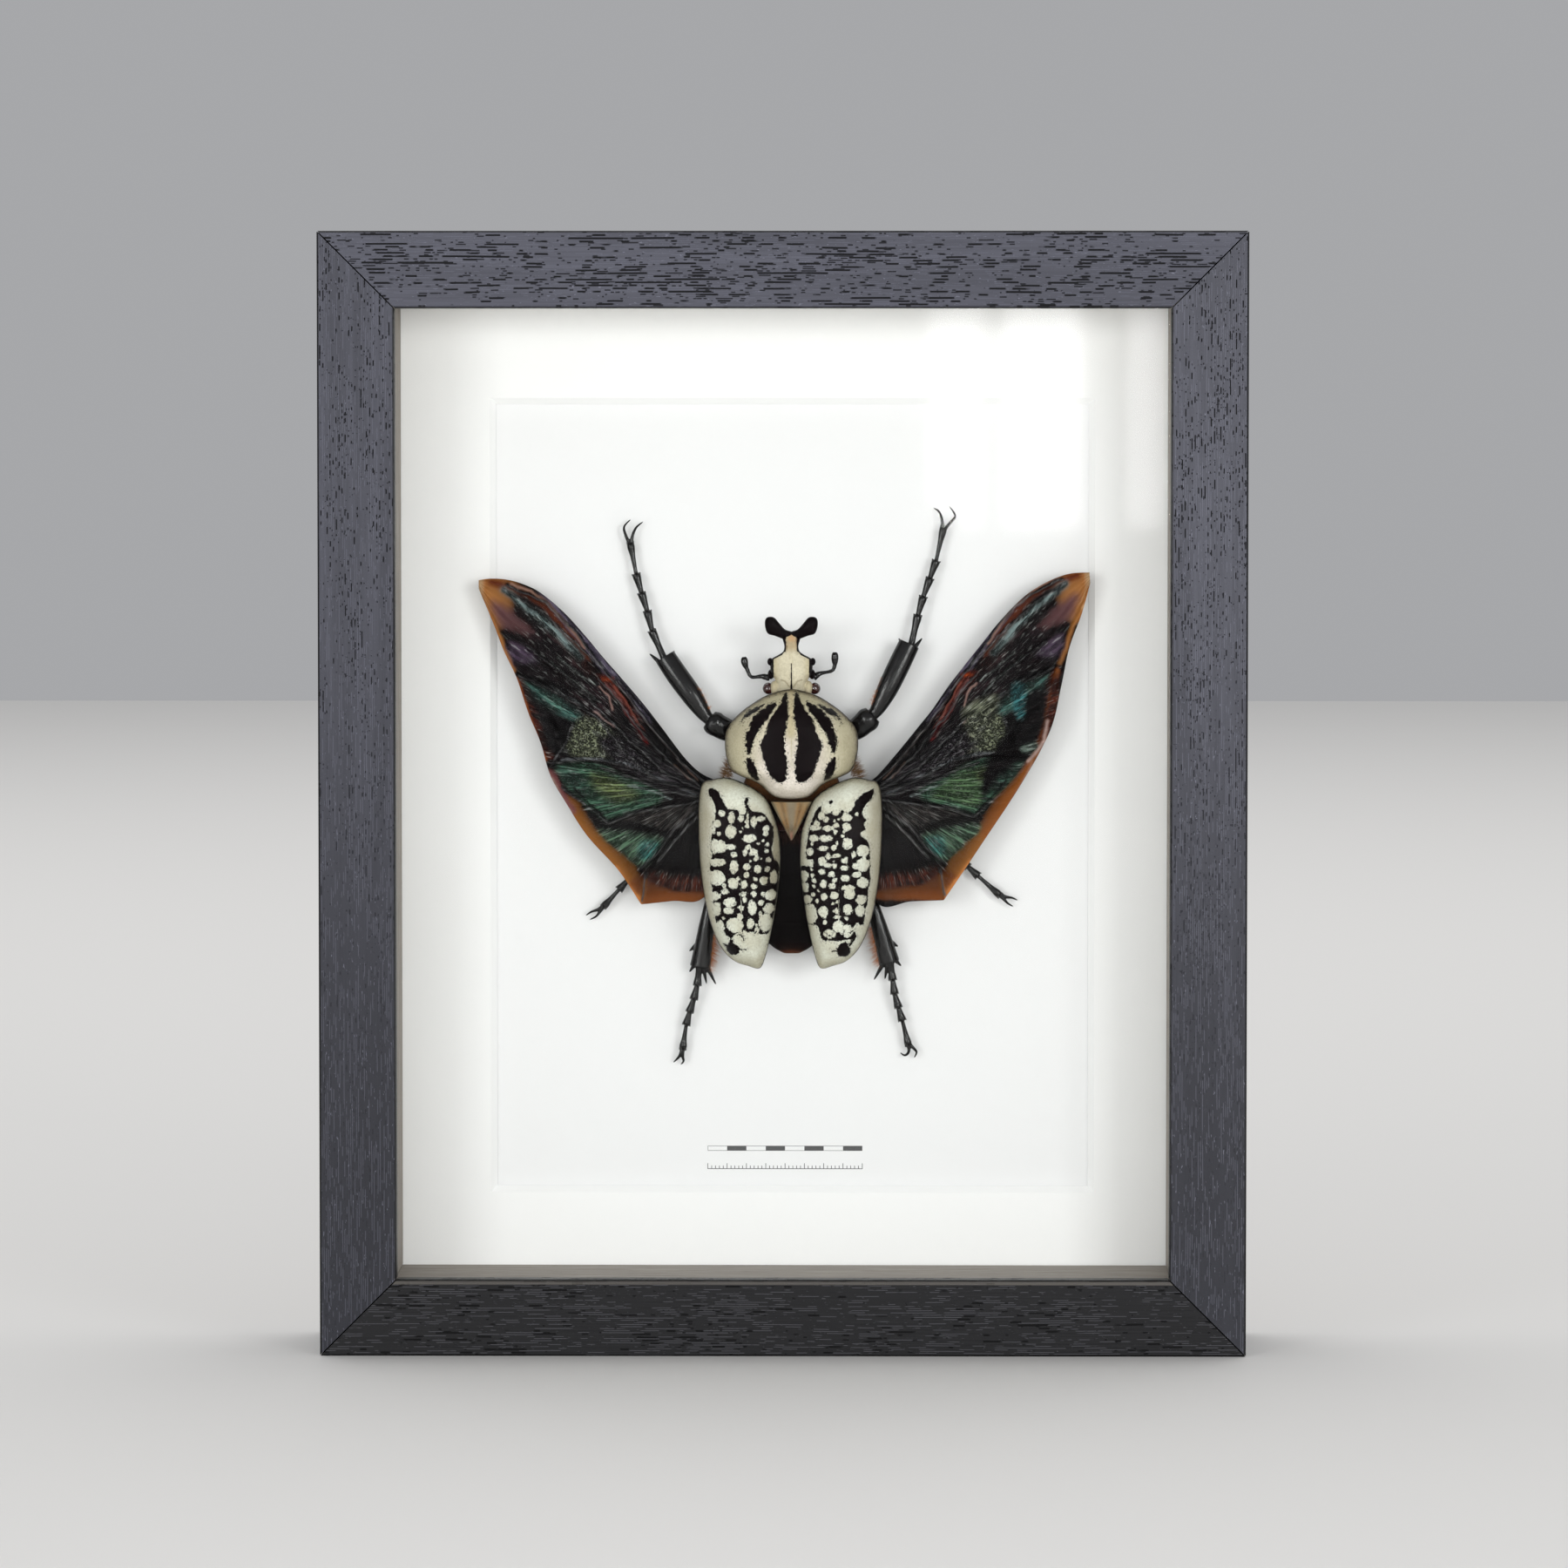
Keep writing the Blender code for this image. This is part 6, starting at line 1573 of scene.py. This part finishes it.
RIGHT_WING_LAYERS = [
    ("area", (14, 10, 11), 1.5, [(62, 25), (66, 20), (62, 8), (54, 2), (48, -6), (49, 4), (55, 14)]),
    ("area", (80, 30, 14), 1.2, [(66.5, 27), (69, 26), (68, 16), (64.5, 9), (62.5, 8), (65, 16)]),
    ("area", (136, 78, 32), 1.0, [(57.5, 1.5), (63, 8.5), (65.5, 12), (60, 1.5), (50.8, -13.5),
        (48.6, -11.2), (52, -4.5)]),
    ("area", (72, 138, 142), 0.9, [(56.6, 25.4), (59.8, 24.6), (59.4, 17.2), (57.6, 17.2)]),
    ("area", (100, 134, 92), 1.2, [(43, 3), (47.4, 2.6), (48, -5.6), (41, -4.4), (36, -3)]),
    ("area", (124, 128, 108), 1.3, [(44.8, 19.6), (52.2, 22.4), (51.6, 15.4), (47, 11), (45.2, 13.6)]),
    ("area", (112, 128, 118), 0.7, [(59, 9.6), (62.2, 10.6), (63, 8.8), (60, 7.8)]),
    ("line", (198, 168, 158), 0.4, [(65.6, 16), (64.8, 11), (62.4, 7.6), (60.8, 6)]),
]


def wing_height(along, across):
    """The wing droops towards its tip, and its long folds run from the root out to the rear edge."""
    depth = 0.6 * step_up(0.06, 0.3, along) * (1 - 0.5 * along**2)
    fold = np.sin(math.tau * WING_FOLDS * (across - FOLD_SLANT * along))
    front_rib = 0.5 * step_up(0.12, 0.0, across) * step_up(0.1, 0.3, along)
    return WING_ROOT_HEIGHT - WING_DROOP * along + depth * fold * 0.75 + front_rib


def as_left_wing(u, v, side):
    """Where a point of either wing lies on the left one."""
    if side < 0:
        return u, v
    x = (u - WING_ROOT[0]) / RIGHT_WING_SCALE
    y = (v - WING_ROOT[1]) / RIGHT_WING_SCALE
    c, s = math.cos(-RIGHT_WING_TURN), math.sin(-RIGHT_WING_TURN)
    return -(c * x - s * y) - WING_ROOT[0], s * x + c * y + WING_ROOT[1]


def fan_place(left_u, left_v):
    """Angle and distance from the point that the left wing's folds run out from."""
    x, y = left_u - FAN_CENTRE[0], left_v - FAN_CENTRE[1]
    return np.arctan2(y, -x), np.hypot(x, y)


def wing_film():
    """Thin dark film, amber where bare, with silky wrinkles. The green and violet sheen of its scales and its
    bright threads are painted into its colour.
    """
    film = Finish("wing film")
    place = film.place()
    fan = film.attribute("fan", "Vector")
    tint = film.attribute("tint", "Color")
    shine = film.attribute("shine")
    crumpled = film.attribute("crumple")
    gleam = film.attribute("gleam")
    ribs = film.noise(film.stretch(fan, (17.0, 0.05, 1.0)), 1.0, 2.0, 0.5)
    silk = film.noise(film.stretch(fan, (48.0, 0.14, 1.0)), 1.0, 3.0, 0.62)
    threads = film.noise(film.stretch(fan, (110.0, 0.3, 1.0)), 1.0, 2.0, 0.6)
    crumple = film.noise(place, 1.2, 4.0, 0.66, 1.4)
    # Painted sheen: streaks along the wrinkles show the tint and the rest stays dark. The pale threads on the
    # gleaming parts are painted highlights.
    lit = ribs.rise(0.4, 0.58) * silk.rise(0.46, 0.58)
    lit = lit * (1.0 - crumpled) + crumple.rise(0.52, 0.6) * crumpled
    fine = threads.rise(0.56, 0.66) * (lit * 0.8 + 0.2) * gleam
    colour = film.mix((1.0 - lit) * shine * 0.93, tint, (0.0011, 0.0009, 0.0011))
    colour = film.mix(fine * 0.85, colour, film.mix(0.5, tint, (0.46, 0.48, 0.46)))
    height = ribs * 1.6 + silk + threads * 0.4 + crumple * crumpled * 2.6
    return film.surface(
        colour, crumple * 0.2 + 0.2, film.bump(height, 0.08), metallic=shine * 0.1, specular_ior_level=0.07
    )


def make_wings():
    """The two folded hind wings: thin dark films with raised veins and silky wrinkles."""
    material = wing_film()
    across = np.linspace(0, 1, WING_COLUMNS)[None, :]
    along = np.linspace(0, 1, WING_ROWS)[:, None]
    for label, side in (("left", -1), ("right", 1)):
        stations = WINGS[label]
        front = smooth_open([lead for lead, _ in stations], WING_ROWS)
        rear = smooth_open([trail for _, trail in stations], WING_ROWS)
        u = front[:, :1] + (rear[:, :1] - front[:, :1]) * across
        v = front[:, 1:] + (rear[:, 1:] - front[:, 1:]) * across
        left_u, left_v = as_left_wing(u, v, side)
        angle, reach = fan_place(left_u, left_v)
        h = wing_height(along, across)
        margin = step_up(0.0, 0.06, np.minimum(across, 1 - across)) * step_up(0.0, 0.04, 1 - along)
        for height, width, line in VEINS:
            h = h + height * np.exp(-((line_distance(left_u, left_v, line) / width) ** 2)) * margin
        h = h + 0.16 * ripple(angle * 26, reach / 9.0) * margin
        h = h + 0.12 * ripple(u * 0.8, v * 0.8) * margin
        top = np.stack([u, v, h], axis=2)
        bottom = np.stack([u, v, h - WING_FILM], axis=2)
        rings = np.concatenate([top, bottom[:, ::-1]], axis=1)
        width = np.linalg.norm(rear - front, axis=1)[:, None]
        from_rear = width * np.concatenate([1 - across, 1 - across[:, ::-1]], axis=1)
        from_rear = np.minimum(from_rear, 22.0 * (1 - along))
        mesh = make_mesh(f"wing_{label}", [loft(list(rings))])
        u, v = body_place(mesh)[:2]
        left_u, left_v = as_left_wing(u, v, side)
        warp = 0.35 * ripple(u * 0.4, v * 0.4)
        canvas = Canvas(left_u + warp, left_v + warp, tone(22, 15, 17))
        paint(canvas, WING_LAYERS)
        # Each vein is painted dark, with a thin pale line along one side of it as a painted highlight.
        for _, width, line in VEINS:
            canvas.stroke(tone(7, 5, 6), width, line, 0.85)
            canvas.stroke(tone(150, 148, 150), 0.2, [(x - 0.12, y - 0.12) for x, y in line], 0.5)
        if side > 0:
            own = Canvas(u + warp, v + warp, tone(0, 0, 0))
            own.colours = canvas.colours
            paint(own, RIGHT_WING_LAYERS)
            canvas.colours = own.colours
        angle, reach = fan_place(left_u, left_v)
        vector_at(mesh, "fan", np.column_stack([angle, reach, np.zeros(len(u))]))
        rgb = canvas.colours * 0.95
        warm = np.clip((rgb[:, 0] - rgb[:, 1]) / (rgb.max(axis=1) + 0.01) * 1.8, 0, 1)
        warm = warm * step_up(0.1, 0.26, rgb[:, 1] / (rgb[:, 0] + 0.001)) * step_up(0.05, 0.12, rgb[:, 0])
        number_at(mesh, "shine", np.clip(1.0 - warm, 0.08, 1.0))
        bright = np.clip((rgb.max(axis=1) - 0.0042) / 0.012, 0, 1)
        number_at(mesh, "gleam", bright * (1.0 - 0.9 * warm))
        # Painted glow: the amber parts keep their full colour near the rear edge and the tip, as light
        # through the thin film, and are darkened further in. The amber itself is the film's own colour.
        painted_glow = 0.42 + 0.58 * np.exp(-((from_rear.ravel() / AMBER_BAND) ** 2))
        rgb = rgb * (1 - warm[:, None] * (1 - painted_glow[:, None]))
        colour_at(mesh, "tint", rgb)
        folds = depth_inside(left_u, left_v, CRUMPLED)
        number_at(mesh, "crumple", 0.25 + 0.75 * step_up(-1.0, 1.0, folds))
        add_piece(f"wing_{label}", mesh, material, "wing_membrane", f"hindwing_{label}")


def paint(canvas, layers):
    """Lays areas and lines on a canvas one after another."""
    for kind, colour, width, points in layers:
        if kind == "area":
            canvas.area(tone(*colour), width, points)
        else:
            canvas.stroke(tone(*colour), width, points)


def main():
    make_camera()
    make_lights()
    dress_frame()
    make_pronotum()
    make_elytra()
    make_trunk()
    make_scutellum()
    make_head()
    make_eyes_and_feelers()
    make_legs()
    make_wings()
    make_hairs()


main()

floor_mesh = bpy.data.meshes.new("floor")
floor_mesh.from_pydata([(-4, -4, 0), (4, -4, 0), (4, 4, 0), (-4, 4, 0)], [], [(0, 1, 2, 3)])
floor = bpy.data.objects.new("floor", floor_mesh)
bpy.context.scene.collection.objects.link(floor)
floor_finish = Finish("floor")
floor_mesh.materials.append(floor_finish.surface((0.72, 0.71, 0.69), 0.7))
